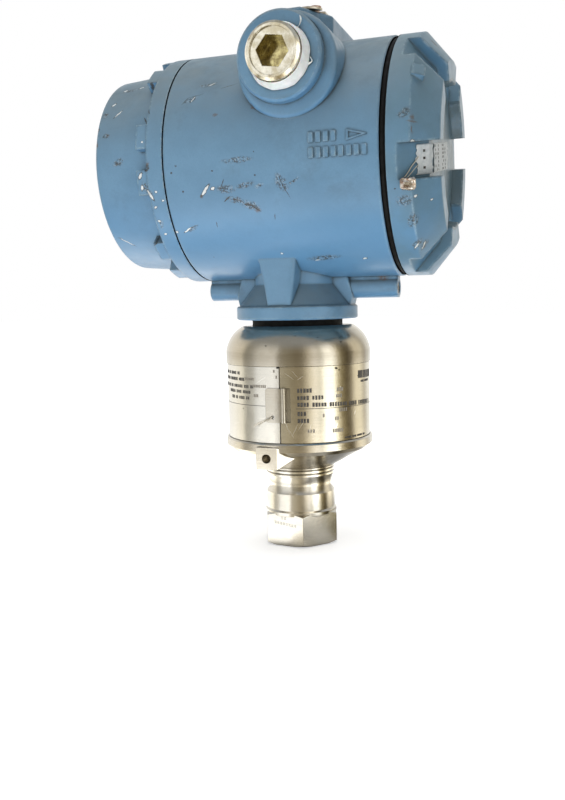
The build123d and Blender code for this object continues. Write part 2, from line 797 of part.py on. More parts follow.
with BuildPart() as plate_screws:
    head_base = plate_top + face_gap
    shank_foot = pad_top - plate_screw_foot
    head_top = head_base + plate_head_height
    for x, y in (pivot, catch):
        rod(Plane(origin=(x, y, shank_foot)), plate_screw_radius - skin_gap, head_base - shank_foot)
        rod(Plane(origin=(x, y, head_base)), plate_screw_head, plate_head_height)
        with BuildSketch(Plane(origin=(x, y, head_top))):
            Rectangle(2 * plate_screw_head, drive_width, rotation=drive_turn)
        extrude(amount=-drive_depth, mode=Mode.SUBTRACT)
save(plate_screws, "plate_screws")

# Zero and span buttons on their rubber return boots
boot_outer = 3.2
boot_inner = 2.2
pocket_floor = pad_top - button_pocket
for side, name in ((-1, "zero"), (1, "span")):
    with BuildPart() as button:
        button_foot = pocket_floor + boot_height + face_gap
        button_plane = Plane(origin=(conduit_x, side * button_pitch / 2, button_foot))
        rod(button_plane, button_radius, button_height - face_gap)
    save(button, name + "_button")
    with BuildPart() as boot:
        boot_plane = Plane(origin=(conduit_x, side * button_pitch / 2, pocket_floor))
        ring(boot_plane, boot_outer, boot_inner, boot_height)
    save(boot, name + "_boot")

# Set screw in the flange and the two cover lock screws
set_screw_inset = 0.6
set_key_radius = 1.0
set_key_depth = 2.0
lock_screw_inset = 0.4
lock_key_radius = 1.4
lock_key_depth = 2.5
flange_middle = flange_bottom + flange_thickness / 2
with BuildPart() as rotation_set_screw:
    set_plane = Plane(origin=(0, flange_radius - set_screw_inset, flange_middle), z_dir=(0, 1, 0))
    rod(set_plane, set_screw_radius - running_gap, -set_screw_length)
    with BuildSketch(set_plane):
        RegularPolygon(set_key_radius, 6)
    extrude(amount=-set_key_depth, mode=Mode.SUBTRACT)
save(rotation_set_screw, "rotation_set_screw")
with BuildPart() as cover_lock_screws:
    for side, end in ((1, lock_boss_end), (-1, lock_boss_start)):
        lock_origin = (end - side * lock_screw_inset, 0, axis_height - lock_boss_drop)
        lock_hole = Plane(origin=lock_origin, z_dir=(side, 0, 0))
        rod(lock_hole, lock_screw_radius - running_gap, -lock_screw_length)
        with BuildSketch(lock_hole):
            RegularPolygon(lock_key_radius, 6)
        extrude(amount=-lock_key_depth, mode=Mode.SUBTRACT)
save(cover_lock_screws, "cover_lock_screws")

# Terminal cover: skirt, rim, conical crown with a round recess and six slots
slot_step = 360 / slot_count
ramp_top = barrel_radius + skin_gap
ramp_start = crown_base - slot_ramp_start
slot_foot = crown_recess_radius - crown_inner_step
cast_pad_angle = 32
cast_pad_size = (5.0, 3.2, 5.0)
cast_pad_sink = 1.5
cast_pad_tilt = -25
with BuildPart() as terminal_cover:
    skirt_end = terminal_face - cover_skirt_length
    terminal_profile = [
        (skirt_end, skirt_inner_radius),
        (skirt_end, skirt_radius),
        (terminal_face, skirt_radius),
        (terminal_face, barrel_radius),
        (crown_base, barrel_radius),
        (crown_top, crown_radius),
        (crown_top, crown_recess_radius),
        (crown_recess, crown_recess_radius - crown_recess_draft),
        (crown_recess, 0),
        (crown_recess - crown_floor, 0),
        (crown_recess - crown_floor, slot_foot),
        (terminal_face + crown_inner_length, skirt_inner_radius),
    ]
    turn_profile(terminal_profile, lengthwise, barrel_axis)
    for index in range(slot_count):
        with BuildSketch(spoke_plane(slot_phase + index * slot_step)):
            with BuildLine():
                Polyline(
                    (ramp_start, ramp_top),
                    (crown_recess, slot_ramp_foot),
                    (crown_recess, slot_foot),
                    (crown_top + moving_gap, slot_foot),
                    (crown_top + moving_gap, barrel_radius + moving_gap),
                    (ramp_start, barrel_radius + moving_gap),
                    close=True,
                )
            make_face()
        extrude(amount=slot_width / 2, both=True, mode=Mode.SUBTRACT)
    # Small raised pad between two slots
    with BuildPart(mode=Mode.PRIVATE) as cast_pad:
        with BuildSketch(spoke_plane(cast_pad_angle)):
            with Locations((crown_base + cast_pad_sink, barrel_radius - cast_pad_sink)):
                Rectangle(cast_pad_size[0], cast_pad_size[1], rotation=cast_pad_tilt)
        extrude(amount=cast_pad_size[2] / 2, both=True)
    add(cast_pad.part)
save(terminal_cover, "terminal_cover")
terminal_seal_inset = 0.9
terminal_seal_round = 0.7
with BuildPart() as terminal_cover_oring:
    seal_outer = barrel_radius - terminal_seal_inset
    ring(across(terminal_rim + face_gap), seal_outer, skirt_radius + moving_gap, seal_gap - 2 * face_gap)
    seal_edges = terminal_cover_oring.edges().filter_by(GeomType.CIRCLE).sort_by(SortBy.RADIUS)
    fillet(seal_edges[-2:], terminal_seal_round)
save(terminal_cover_oring, "terminal_cover_oring")

# Tamper tape along the front slot, and the crimped wire seal beside it
tape_margin = 1.1
tape_sheet = 0.2
tape_outer = 39.6
tape_inner = 9.0
tape_lift = 0.05
ramp_slope = (crown_recess - ramp_start) / (barrel_radius - slot_ramp_foot)
with BuildPart() as tamper_tape:
    with BuildSketch(spoke_plane(slot_phase)):
        with BuildLine():
            tape_x = crown_recess + tape_lift
            far_x = crown_recess - (tape_outer - slot_ramp_foot) * ramp_slope + tape_lift
            Polyline(
                (far_x, tape_outer),
                (tape_x, slot_ramp_foot),
                (tape_x, tape_inner),
                (tape_x + tape_sheet, tape_inner),
                (tape_x + tape_sheet, slot_ramp_foot + tape_sheet),
                (far_x + tape_sheet, tape_outer + tape_sheet),
                close=True,
            )
        make_face()
    extrude(amount=slot_width / 2 - tape_margin, both=True)
save(tamper_tape, "tamper_tape")
crimp_size = (6.0, 4.6, 2.6)
crimp_angle = slot_phase - 9.4
crimp_overhang = 2.2
crimp_round = 0.7
with BuildPart() as crimp_seal:
    with BuildSketch(spoke_plane(crimp_angle)):
        crimp_x = crown_base + crimp_overhang - crimp_size[0] / 2
        with Locations((crimp_x, barrel_radius + face_gap + crimp_size[2] / 2)):
            Rectangle(crimp_size[0], crimp_size[2])
    extrude(amount=crimp_size[1] / 2, both=True)
    fillet(crimp_seal.edges().filter_by(Axis.X), crimp_round)
save(crimp_seal, "crimp_seal")

# Meter cover: skirt with a seal groove, collar, lug blocks, tapered drum and window wall
groove_depth = 1.7
groove_width = 2.6
groove_radius = skirt_radius - groove_depth
with BuildPart() as meter_cover:
    glass_bore_radius = glass_radius + seat_gap
    glass_back = window_seat + gasket_thickness + glass_thickness
    meter_profile = [
        (meter_face + cover_skirt_length, skirt_inner_radius),
        (meter_face + cover_skirt_length, skirt_radius),
        (meter_face + groove_width, skirt_radius),
        (meter_face + groove_width, groove_radius),
        (meter_face, groove_radius),
        (meter_face, barrel_radius),
        (collar_end, barrel_radius),
        (collar_end, meter_root_radius),
        (meter_end, meter_end_radius),
        (meter_end, window_radius),
        (window_seat, window_radius),
        (window_seat, glass_bore_radius),
        (glass_back, glass_bore_radius),
        (glass_back, skirt_inner_radius),
    ]
    turn_profile(meter_profile, lengthwise, barrel_axis)
    end_edges = meter_cover.edges().filter_by(GeomType.CIRCLE).group_by(Axis.X)[0]
    fillet(end_edges.sort_by(SortBy.RADIUS)[-1], meter_end_round)
    block_inner_radius = barrel_radius - lug_block_depth
    block_plane = across(collar_end + face_gap)
    for index in range(slot_count):
        middle = index * slot_step
        for shift in (-lug_block_offset, lug_block_offset):
            block_outer_radius = barrel_radius - lug_block_inset
            block = sector(block_plane, block_inner_radius, block_outer_radius, middle + shift, lug_block_span)
            extrude(block, amount=-lug_block_length - face_gap)
        pocket_middle = middle + slot_step / 2
        pocket_outer_radius = barrel_radius - pocket_rim
        pocket_plane = across(collar_end)
        pocket = sector(pocket_plane, block_inner_radius, pocket_outer_radius, pocket_middle, pocket_span)
        extrude(pocket, amount=pocket_depth, mode=Mode.SUBTRACT)
save(meter_cover, "meter_cover")
with BuildPart() as meter_cover_oring:
    groove_seal_width = groove_width - 2 * seat_gap
    groove_seal_inner = groove_radius + seat_gap
    ring(across(meter_face + seat_gap), cover_bore_radius - seat_gap, groove_seal_inner, groove_seal_width)
save(meter_cover_oring, "meter_cover_oring")

# Window: gasket, glass and retaining ring inside the meter cover
gasket_inset = 0.5
with BuildPart() as glass_gasket:
    ring(across(window_seat), glass_radius, window_radius + gasket_inset, gasket_thickness)
save(glass_gasket, "glass_gasket")
with BuildPart() as cover_glass:
    rod(across(window_seat + gasket_thickness), glass_radius, glass_thickness)
save(cover_glass, "cover_glass")
with BuildPart() as glass_ring:
    ring(across(glass_back), skirt_inner_radius - seat_gap, skirt_inner_radius - ring_width, ring_thickness)
save(glass_ring, "glass_ring")

# Display, electronics carrier and board in the meter chamber
display_front = board_front - display_standoff - display_thickness
display_corner = 1.0
display_margin = 0.2
display_leg_count = 4
with BuildPart() as display_module:
    rod(across(display_front), display_radius, display_thickness)
    with BuildSketch(across(display_front)):
        pane_width = display_glass[0] + 2 * display_margin
        pane_height = display_glass[1] + 2 * display_margin
        RectangleRounded(pane_width, pane_height, display_corner)
    extrude(amount=display_glass[2], mode=Mode.SUBTRACT)
    with BuildSketch(across(board_front)):
        with PolarLocations(display_leg_circle, display_leg_count, start_angle=45):
            Circle(display_leg_radius)
    extrude(amount=-display_standoff)
save(display_module, "display_module")
with BuildPart() as display_glass_plate:
    with BuildSketch(across(display_front)):
        RectangleRounded(display_glass[0], display_glass[1], display_corner - display_margin)
    extrude(amount=display_glass[2])
save(display_glass_plate, "display_glass_plate")
with BuildPart() as electronics_board:
    rod(across(board_front), board_radius, board_thickness)
save(electronics_board, "electronics_board")
with BuildPart() as electronics_carrier:
    ring(across(carrier_front), carrier_radius, carrier_radius - carrier_wall, carrier_length)
    rod(across(divider_back - carrier_wall), carrier_radius, carrier_wall)
save(electronics_carrier, "electronics_carrier")
part_pitch = (18.0, 16.0)
part_size = (9.0, 8.0)
part_height = 4.0
with BuildPart() as board_parts:
    with BuildSketch(across(board_front + board_thickness)):
        with GridLocations(*part_pitch, 3, 3):
            Rectangle(*part_size)
    extrude(amount=part_height)
save(board_parts, "board_parts")
board_screw_reach = 31.0
board_screw_radius = 2.6
board_screw_height = 2.2
with BuildPart() as board_screws:
    with BuildSketch(across(board_front)):
        with Locations((0, board_screw_reach), (0, -board_screw_reach)):
            Circle(board_screw_radius)
    extrude(amount=-board_screw_height)
save(board_screws, "board_screws")

# Terminal block with its screws, and its two fixing screws
screw_head_radius = 3.6
screw_head_height = 2.6
screw_slot_width = 1.0
screw_slot_depth = 1.2
fixing_screw_reach = (27.0, -14.0)
fixing_screw_radius = 3.0
fixing_screw_height = 2.2
terminal_places = [(-terminal_pitch, -terminal_drop), (0, -terminal_drop), (terminal_pitch, -terminal_drop)]
block_front = divider_face + block_thickness
with BuildPart() as terminal_block:
    with BuildSketch(across(divider_face)):
        Circle(block_radius)
        with Locations((0, block_flat + block_radius)):
            Rectangle(2 * block_radius, 2 * block_radius, mode=Mode.SUBTRACT)
    extrude(amount=block_thickness)
    with BuildSketch(across(block_front)):
        with Locations((-terminal_pitch / 2, barrier_rise), (terminal_pitch / 2, barrier_rise)):
            Rectangle(barrier_width, barrier_length)
    extrude(amount=barrier_height)
save(terminal_block, "terminal_block")
with BuildPart() as terminal_screws:
    with BuildSketch(across(block_front)):
        with Locations(*terminal_places):
            Circle(screw_head_radius)
    extrude(amount=screw_head_height)
    with BuildSketch(across(block_front + screw_head_height)):
        with Locations(*terminal_places):
            Rectangle(2 * screw_head_radius, screw_slot_width)
    extrude(amount=-screw_slot_depth, mode=Mode.SUBTRACT)
save(terminal_screws, "terminal_screws")
with BuildPart() as block_screws:
    with BuildSketch(across(block_front)):
        with Locations(fixing_screw_reach, (-fixing_screw_reach[0], fixing_screw_reach[1])):
            Circle(fixing_screw_radius)
    extrude(amount=fixing_screw_height)
save(block_screws, "block_screws")
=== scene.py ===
import bpy
import bmesh
import json
import math
import random
from mathutils import Matrix, Vector, noise


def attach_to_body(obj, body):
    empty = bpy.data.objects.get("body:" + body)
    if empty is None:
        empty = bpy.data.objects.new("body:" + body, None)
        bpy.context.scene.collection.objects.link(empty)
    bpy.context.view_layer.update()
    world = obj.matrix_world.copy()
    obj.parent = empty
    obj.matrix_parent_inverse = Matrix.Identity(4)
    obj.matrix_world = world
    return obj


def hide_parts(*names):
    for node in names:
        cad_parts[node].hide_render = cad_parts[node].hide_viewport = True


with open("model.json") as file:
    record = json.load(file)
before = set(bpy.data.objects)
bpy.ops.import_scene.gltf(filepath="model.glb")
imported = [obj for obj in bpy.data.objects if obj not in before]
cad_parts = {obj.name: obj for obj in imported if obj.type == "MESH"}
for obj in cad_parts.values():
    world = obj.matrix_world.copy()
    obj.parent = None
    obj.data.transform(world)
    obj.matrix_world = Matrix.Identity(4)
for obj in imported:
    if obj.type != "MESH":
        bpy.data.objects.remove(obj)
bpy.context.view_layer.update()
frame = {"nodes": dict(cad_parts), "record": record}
nodes = frame["nodes"]
scene = bpy.context.scene
rng = random.Random(7)

# Places and sizes on the part that the looks and the additions follow, in mm
MM = 0.001
AXIS = 163.0
BARREL = 47.5
BAND = 31.15
HEX_FLATS = 30.4
CONDUIT_X, CONDUIT_Z, CONDUIT_REAR = 11.1, 195.4, 52.0

# Camera at the photograph's viewing angle
YAW, PITCH, ROLL = (math.radians(v) for v in (18.99, -6.67, -1.23))
forward = Vector((-math.sin(YAW) * math.cos(PITCH), math.cos(YAW) * math.cos(PITCH), math.sin(PITCH)))
level_right = Vector((math.cos(YAW), math.sin(YAW), 0))
level_up = level_right.cross(forward)
right = math.cos(ROLL) * level_right + math.sin(ROLL) * level_up
up = math.cos(ROLL) * level_up - math.sin(ROLL) * level_right
camera_data = bpy.data.cameras.new("camera")
camera_data.sensor_width = 36
camera_data.lens = 39.15
camera_data.clip_start = 0.01
camera = bpy.data.objects.new("camera", camera_data)
camera.matrix_world = Matrix((right, up, -forward)).transposed().to_4x4()
camera.location = (0.11755, -0.36406, 0.10719)
scene.collection.objects.link(camera)
scene.camera = camera
scene.view_settings.view_transform = "Standard"


class Graph:
    """Node graph of one material or of the world."""

    MARK_DEPTH = 3.0
    BEYOND_MARKS = 9.0

    def __init__(self, name, inputs=None, tree=None):
        if tree is None:
            self.material = bpy.data.materials.new(name)
            self.material.use_nodes = True
            tree = self.material.node_tree
        self.tree = tree
        self.tree.nodes.clear()
        if inputs is not None:
            output = self.add("ShaderNodeOutputMaterial")
            self.shader = self.add("ShaderNodeBsdfPrincipled", inputs)
            self.tree.links.new(self.shader.outputs[0], output.inputs[0])
        coordinates = self.add("ShaderNodeTexCoord")
        self.coords = coordinates.outputs["Object"]
        self.normal = coordinates.outputs["Normal"]
        self.direction = coordinates.outputs["Generated"]

    def add(self, kind, inputs=None, **props):
        node = self.tree.nodes.new(kind)
        for key, value in props.items():
            setattr(node, key, value)
        for key, value in (inputs or {}).items():
            self.put(node.inputs[key], value)
        return node

    def put(self, socket, value):
        """Link a socket, or set it to a number, a vector or a colour of three parts."""
        if isinstance(value, bpy.types.NodeSocket):
            self.tree.links.new(value, socket)
        elif socket.type == "RGBA":
            socket.default_value = (*value, 1)
        else:
            socket.default_value = value

    def set(self, key, value):
        self.put(self.shader.inputs[key], value)

    def maths(self, operation, first, second=0.0):
        return self.add("ShaderNodeMath", {0: first, 1: second}, operation=operation).outputs[0]

    def plus(self, first, second):
        return self.maths("ADD", first, second)

    def minus(self, first, second):
        return self.maths("SUBTRACT", first, second)

    def less(self, value, limit):
        return self.maths("LESS_THAN", value, limit)

    def more(self, value, limit):
        return self.maths("GREATER_THAN", value, limit)

    def either(self, first, second):
        return self.maths("MAXIMUM", first, second)

    def times(self, first, *values):
        total = first
        for value in values:
            total = self.maths("MULTIPLY", total, value)
        return total

    def vectors(self, operation, first, second):
        return self.add("ShaderNodeVectorMath", {0: first, 1: second}, operation=operation).outputs

    def noise(self, scale, detail=3.0, rough=0.55, vector=None, out=0):
        inputs = {"Vector": vector or self.coords, "Scale": scale, "Detail": detail, "Roughness": rough}
        return self.add("ShaderNodeTexNoise", inputs).outputs[out]

    def stretched(self, scale):
        return self.add("ShaderNodeMapping", {"Vector": self.coords, "Scale": scale}).outputs[0]

    def split(self, vector):
        return self.add("ShaderNodeSeparateXYZ", {0: vector}).outputs

    def span(self, value, low, high, start=0.0, end=1.0):
        """Smooth step from start to end as the value goes from low to high."""
        inputs = {0: value, 1: low, 2: high, 3: start, 4: end}
        return self.add("ShaderNodeMapRange", inputs, interpolation_type="SMOOTHSTEP").outputs[0]

    def mix(self, factor, first, second):
        inputs = {0: factor, 6: first, 7: second}
        return self.add("ShaderNodeMix", inputs, data_type="RGBA").outputs[2]

    def bump(self, height, distance, normal=None, strength=1.0):
        inputs = {"Height": height, "Distance": distance, "Strength": strength}
        if normal is not None:
            inputs["Normal"] = normal
        return self.add("ShaderNodeBump", inputs).outputs[0]

    def bevel(self, radius):
        return self.add("ShaderNodeBevel", {0: radius}, samples=4).outputs[0]

    def openness(self, distance, samples):
        """Ambient occlusion: 1 on open ground, less in hollows."""
        return self.add("ShaderNodeAmbientOcclusion", {"Distance": distance}, samples=samples).outputs["AO"]

    def radius_about(self, first, second):
        """Distance from an axis, from the two coordinates square to it."""
        return self.maths("SQRT", self.plus(self.times(first, first), self.times(second, second)))

    def wobble(self, size, scale):
        """Coordinates shifted by noise, so that outlines come out ragged."""
        shift = self.vectors("SUBTRACT", self.noise(scale, 4, 0.7, out=1), (0.5, 0.5, 0.5))[0]
        scaled = self.add("ShaderNodeVectorMath", {0: shift, "Scale": size}, operation="SCALE").outputs[0]
        return self.vectors("ADD", self.coords, scaled)[0]

    def marks(self, spots, axis, size=0.0006, scale=1100):
        """Least distance to any mark on a surface turned about X or Z, where 1 is the mark's edge."""
        vector = self.wobble(size, scale)
        least = self.BEYOND_MARKS
        for x, y, z, length, width, turn in spots:
            if axis == "X":
                out = Vector((0, y, z - AXIS)).normalized()
                along = Vector((1, 0, 0))
            else:
                out = Vector((x, y, 0)).normalized()
                along = Vector((-y, x, 0)).normalized()
            over = out.cross(along)
            angle = math.radians(turn)
            first = along * math.cos(angle) + over * math.sin(angle)
            second = over * math.cos(angle) - along * math.sin(angle)
            basis = Matrix((first, second, out)).transposed()
            inputs = {
                "Vector": vector,
                "Location": Vector((x, y, z)) * MM,
                "Rotation": basis.to_euler(),
                "Scale": Vector((length, width, self.MARK_DEPTH)) * MM,
            }
            local = self.add("ShaderNodeMapping", inputs, vector_type="TEXTURE").outputs[0]
            distance = self.add("ShaderNodeVectorMath", {0: local}, operation="LENGTH").outputs["Value"]
            least = self.maths("MINIMUM", distance, least)
        return least


# Marks and chips: x, y, z of the middle, half length, half width and turn, in mm and degrees
HOUSING_CHIPS = [
    (-22.1, -45.6, 149.6, 2.6, 0.55, 48), (-18.9, -45.7, 150.1, 0.9, 0.6, 20),
    (-33.2, -38.6, 135.4, 2.1, 0.3, 32), (-38.3, -38.2, 134.8, 0.6, 0.5, 0),
    (3.2, -28.6, 125.1, 0.5, 0.45, 0), (-20.9, -38.4, 190.9, 1.7, 0.2, 25), (-27.7, -42, 185.1, 1.5, 0.2, 60),
    (17, -24.2, 122.2, 1.5, 0.22, 10), (36.3, -24.2, 122.1, 0.9, 0.5, 15),
]
HOUSING_SCRATCHES = [
    (-14.7, -46.1, 151.5, 1.6, 0.16, 62), (-14.3, -45.4, 148.9, 1.6, 0.16, -15),
    (-13.5, -44.3, 146, 1.5, 0.2, 35), (-9.3, -44.1, 145.3, 1.7, 0.16, -12),
    (-4.7, -43.2, 143.3, 1.9, 0.24, -10), (-2.2, -42.5, 141.9, 1.7, 0.26, -38),
    (4.8, -40.7, 138.5, 1.1, 0.14, 80), (-20.1, -39.5, 136.7, 1.1, 0.14, 85),
    (-33.6, -47.4, 159.4, 0.35, 0.3, 0), (-35.7, -47.1, 156.9, 0.35, 0.3, 0),
    (-31.6, -45.6, 149.7, 0.35, 0.3, 0), (-18.3, -47.1, 156.6, 0.35, 0.25, 0),
    (-0.9, -46.6, 153.9, 0.35, 0.3, 0), (9.2, -46.1, 151.4, 2.6, 0.1, -71),
    (11, -44.9, 147.3, 2.4, 0.1, -64), (-30.9, -42.3, 184.7, 1.6, 0.12, 50),
    (-27, -41.3, 186.5, 3.2, 0.08, 12), (-13.3, -39.5, 189.4, 3.2, 0.08, 15),
]
HOUSING_SCUFFS = [
    (-13.5, -45.7, 149.6, 4.2, 1.8, -5), (-10, -44.3, 145.4, 4.6, 1.5, -14),
    (-4.2, -43.2, 143.2, 4.4, 1.9, -22), (-5.5, -45.9, 150.6, 4.4, 1.2, 12), (0.5, -45.8, 150, 2.2, 0.8, 20),
    (9.5, -45.9, 150.5, 4, 2.6, -60), (14.5, -46, 151, 3, 0.8, 30), (-22.5, -38.2, 190.6, 4.5, 0.9, 4),
    (-28.5, -42.2, 185, 3.5, 1.2, 20), (-31, -38.9, 135.8, 3.6, 0.9, 28), (20, -25.5, 123, 8, 2, 6),
    (-8, -47, 160, 7, 1.2, 2),
]
HOUSING_RUST = [
    (-1.6, -42.3, 141.3, 1.5, 1.2, 0), (-17.1, -45.1, 177.9, 1.1, 0.7, 15), (-1.8, -44.7, 179.2, 0.9, 0.6, 0),
    (38.7, -2.5, 114.3, 2.6, 0.6, 0), (-23.8, -45, 147.7, 1.3, 0.7, 60),
]
METER_CHIPS = [
    (-49.5, -46.7, 156.7, 1.3, 0.6, 60), (-49.3, -45.8, 152.1, 1, 0.5, 75),
    (-46, -45.3, 149.2, 2.3, 0.5, -60), (-43.4, -45.7, 150.2, 0.6, 0.45, 0),
    (-40.9, -44.7, 146.8, 0.5, 0.4, 0), (-44.7, -43.7, 144.4, 0.7, 0.45, 40),
    (-44.7, -41.1, 139.2, 0.6, 0.45, 0), (-43.6, -37.7, 134.2, 0.6, 0.4, 0),
    (-48.2, -46.6, 169.7, 0.45, 0.35, 0), (-65.9, -25.5, 195.3, 0.9, 0.5, 20),
    (-58.1, -25.8, 195.8, 1.2, 0.35, 15), (-68, -32.1, 188.5, 1, 0.45, 40),
    (-64.3, -35.6, 183.9, 2.2, 0.28, 45), (-67, -27.4, 132.7, 3.4, 0.2, -38),
]
METER_SCRATCHES = [
    (-46.2, -47.3, 159.3, 1.2, 0.7, 50), (-49.3, -32.7, 193.5, 0.9, 0.35, 20),
    (-72.7, -37.6, 177.7, 0.9, 0.5, 90), (-46.8, -41.9, 182.4, 2.2, 0.3, -65),
    (-49.8, -40.3, 179.4, 2, 0.3, -60), (-49.8, -32.7, 132.5, 1.8, 0.3, 40),
]
METER_SCUFFS = [
    (-47.9, -45.8, 152.3, 3, 1.4, -75), (-46, -45.4, 149.6, 2.2, 1.5, -50), (-62, -41.8, 163.5, 3, 1.6, 25),
    (-70.5, -35, 184, 1.6, 1.6, 0), (-68.5, -39, 174.8, 2.2, 1.2, 0), (-48.5, -36.5, 133, 2.6, 1.2, 40),
    (-44, -40.4, 137.8, 2.6, 0.9, 80), (-63, -26.3, 195.3, 4.5, 1.2, 10),
]
METER_RUST = [
    (-70.2, -35, 184, 1, 0.6, 30), (-67.7, -39.3, 174.8, 0.9, 0.6, 0), (-72.6, -39.6, 171.6, 0.7, 1.6, 0),
    (-62.6, -41.4, 162.7, 1.4, 0.5, 20), (-45.9, -46.8, 160.9, 1.3, 0.8, 40),
]
TERMINAL_CHIPS = [
    (59.4, -46.4, 161.8, 0.75, 0.6, 20), (59.7, -41.6, 143.2, 0.5, 0.45, 0),
    (57.8, -29.6, 125.9, 1.9, 0.25, 60), (60.1, -26.9, 126.3, 1.7, 0.22, 60),
    (64.5, -36.2, 141.5, 0.5, 0.35, 0),
]
TERMINAL_SCRATCHES = [
    (62.1, -15.3, 203.4, 1, 0.5, 30), (55.4, -8, 116.2, 1.1, 0.5, 10), (52.5, -44, 146, 0.3, 0.25, 0),
]
TERMINAL_SCUFFS = [
    (58.6, -30.2, 126.4, 3, 2.2, 50), (60.5, -27, 126.4, 2.2, 1.6, 50), (55.5, -42, 142, 3.5, 2.4, 0),
    (58, -37.8, 135, 3.6, 2.2, 80), (56.5, -46.2, 172, 3, 1.8, 30), (62.8, -15, 203.2, 1.6, 1.4, 0),
]
TERMINAL_RUST = [
    (59.3, -46.1, 169, 2.3, 0.45, 2), (59.3, -45.9, 170.4, 1.1, 0.9, 80), (59.2, -46.6, 166, 0.3, 1.6, 0),
]
STEEL_SCRATCHES = [
    (-6.6, -31.2, 74, 3, 0.09, 30), (6, -30.6, 75.5, 2.3, 0.07, -35), (8.2, -30.2, 76.3, 2, 0.07, -50),
    (10.3, -29.5, 74.9, 1.5, 0.07, 35), (4.6, -30.8, 55, 3.4, 0.09, -72), (7.8, -30.3, 53.5, 3, 0.09, 64),
    (10.2, -29.5, 55.4, 2.6, 0.08, 58), (6.3, -30.6, 52.1, 2.2, 0.07, -60), (13.6, -28.1, 54, 2, 0.07, 75),
    (20.5, -23.5, 51, 1.5, 0.07, 20), (-20, -23.9, 55, 2.5, 0.06, 8), (24.2, -19.7, 70, 0.9, 0.3, 70),
    (22.8, -21.2, 67, 1, 0.25, 80), (28.6, -12.4, 59.2, 1.2, 0.25, 60), (23, -21, 54.6, 1.3, 0.3, 70),
]
STEEL_PITS = [
    (1.2, -31.1, 79.2, 0.75, 0.5, 20), (23, -21, 78.3, 0.75, 0.5, -10), (24, -20, 77.6, 0.3, 0.5, 0),
    (-4, -30.5, 88, 0.4, 0.25, 0), (17, -25.3, 91, 0.3, 0.22, 0), (24.9, -18.6, 88.9, 0.55, 0.3, 0),
    (8, -28.6, 91.9, 0.3, 0.25, 0), (-16, -26.6, 61.6, 0.4, 0.25, 0), (29.4, -10.3, 74.3, 0.35, 0.35, 0),
]

# Machined surfaces, in mm: the cover threads' root, crest and pitch, then the spigots and bores
THREAD_ROOT, THREAD_CREST, COVER_PITCH = 41.7, 40.4, 2.0
SPIGOT, COVER_BORE, CONDUIT_WALL = 40.5, 37.9, 10.7
# The housing's two joint faces: their middle, their reach to each side and their rim
JOINT_MIDDLE, JOINT_REACH, JOINT_RIM = 4.05, 43.19, 47.2
# Stations along the barrel where a cover's bare spigot, its joint face painted near black as shade, and its
# inner floor begin
COVERS = {"terminal": (49.25, 49.7, 60.2), "meter": (-39.35, -39.43, -70.2)}
# The dished middle of the terminal cover's outer face
RECESS_RADIUS, RECESS_FLOOR = 29.5, 60.0

# Tones of the enamel, of what lies on it, of the light and shade painted on it and of its damage
BLUE, PALE_BLUE, SPECKLED_BLUE = (0.118, 0.245, 0.375), (0.142, 0.285, 0.43), (0.098, 0.2, 0.3)
UNDERSIDE_LIGHT_BLUE, RUBBED_HIGHLIGHT_BLUE, GREENER_BLUE = (0.098, 0.26, 0.47), (0.4, 0.53, 0.6), (0.105, 0.19, 0.235)
DUST_AND_TOP_SHADE, GRIME, DIRT_AND_HOLLOW_SHADE = (0.165, 0.215, 0.235), (0.085, 0.14, 0.18), (0.05, 0.072, 0.08)
CREVICE_SHADE, RECESS_SHADE, SPECK = (0.03, 0.045, 0.05), (0.08, 0.12, 0.135), (0.05, 0.055, 0.055)
RUST, PALE_SCUFF, DARK_SCUFF = (0.125, 0.075, 0.045), (0.33, 0.41, 0.47), (0.04, 0.046, 0.048)
SCRATCH, CHIP_EDGE, CHIP = (0.045, 0.047, 0.045), (0.06, 0.062, 0.06), (0.76, 0.79, 0.79)
TURNED_DARK, TURNED_PALE, GAP_SHADE = (0.48, 0.48, 0.47), (0.66, 0.66, 0.65), (0.012, 0.012, 0.012)


def machined(g, part, x, z, radial):
    """Masks of the bare machined metal and of the joint faces, painted near black as the shade in the joint's
    gap.
    """
    if part == "housing":
        across = g.radius_about(g.minus(x, CONDUIT_X * MM), g.minus(z, CONDUIT_Z * MM))
        entries = g.times(g.less(across, CONDUIT_WALL * MM), g.more(radial, THREAD_ROOT * MM))
        bare = g.either(g.less(radial, THREAD_ROOT * MM), entries)
        from_middle = g.maths("ABSOLUTE", g.minus(x, JOINT_MIDDLE * MM))
        return bare, g.times(g.more(from_middle, JOINT_REACH * MM), g.less(radial, JOINT_RIM * MM))
    spigot, joint, floor_at = COVERS[part]
    inward = g.less if part == "terminal" else g.more
    inside = g.times(g.less(radial, COVER_BORE * MM), inward(x, floor_at * MM))
    # Painted shade: the joint faces in the gap
    gap_shade = g.times(inward(x, joint * MM), g.more(radial, SPIGOT * MM))
    return g.either(inward(x, spigot * MM), inside), gap_shade


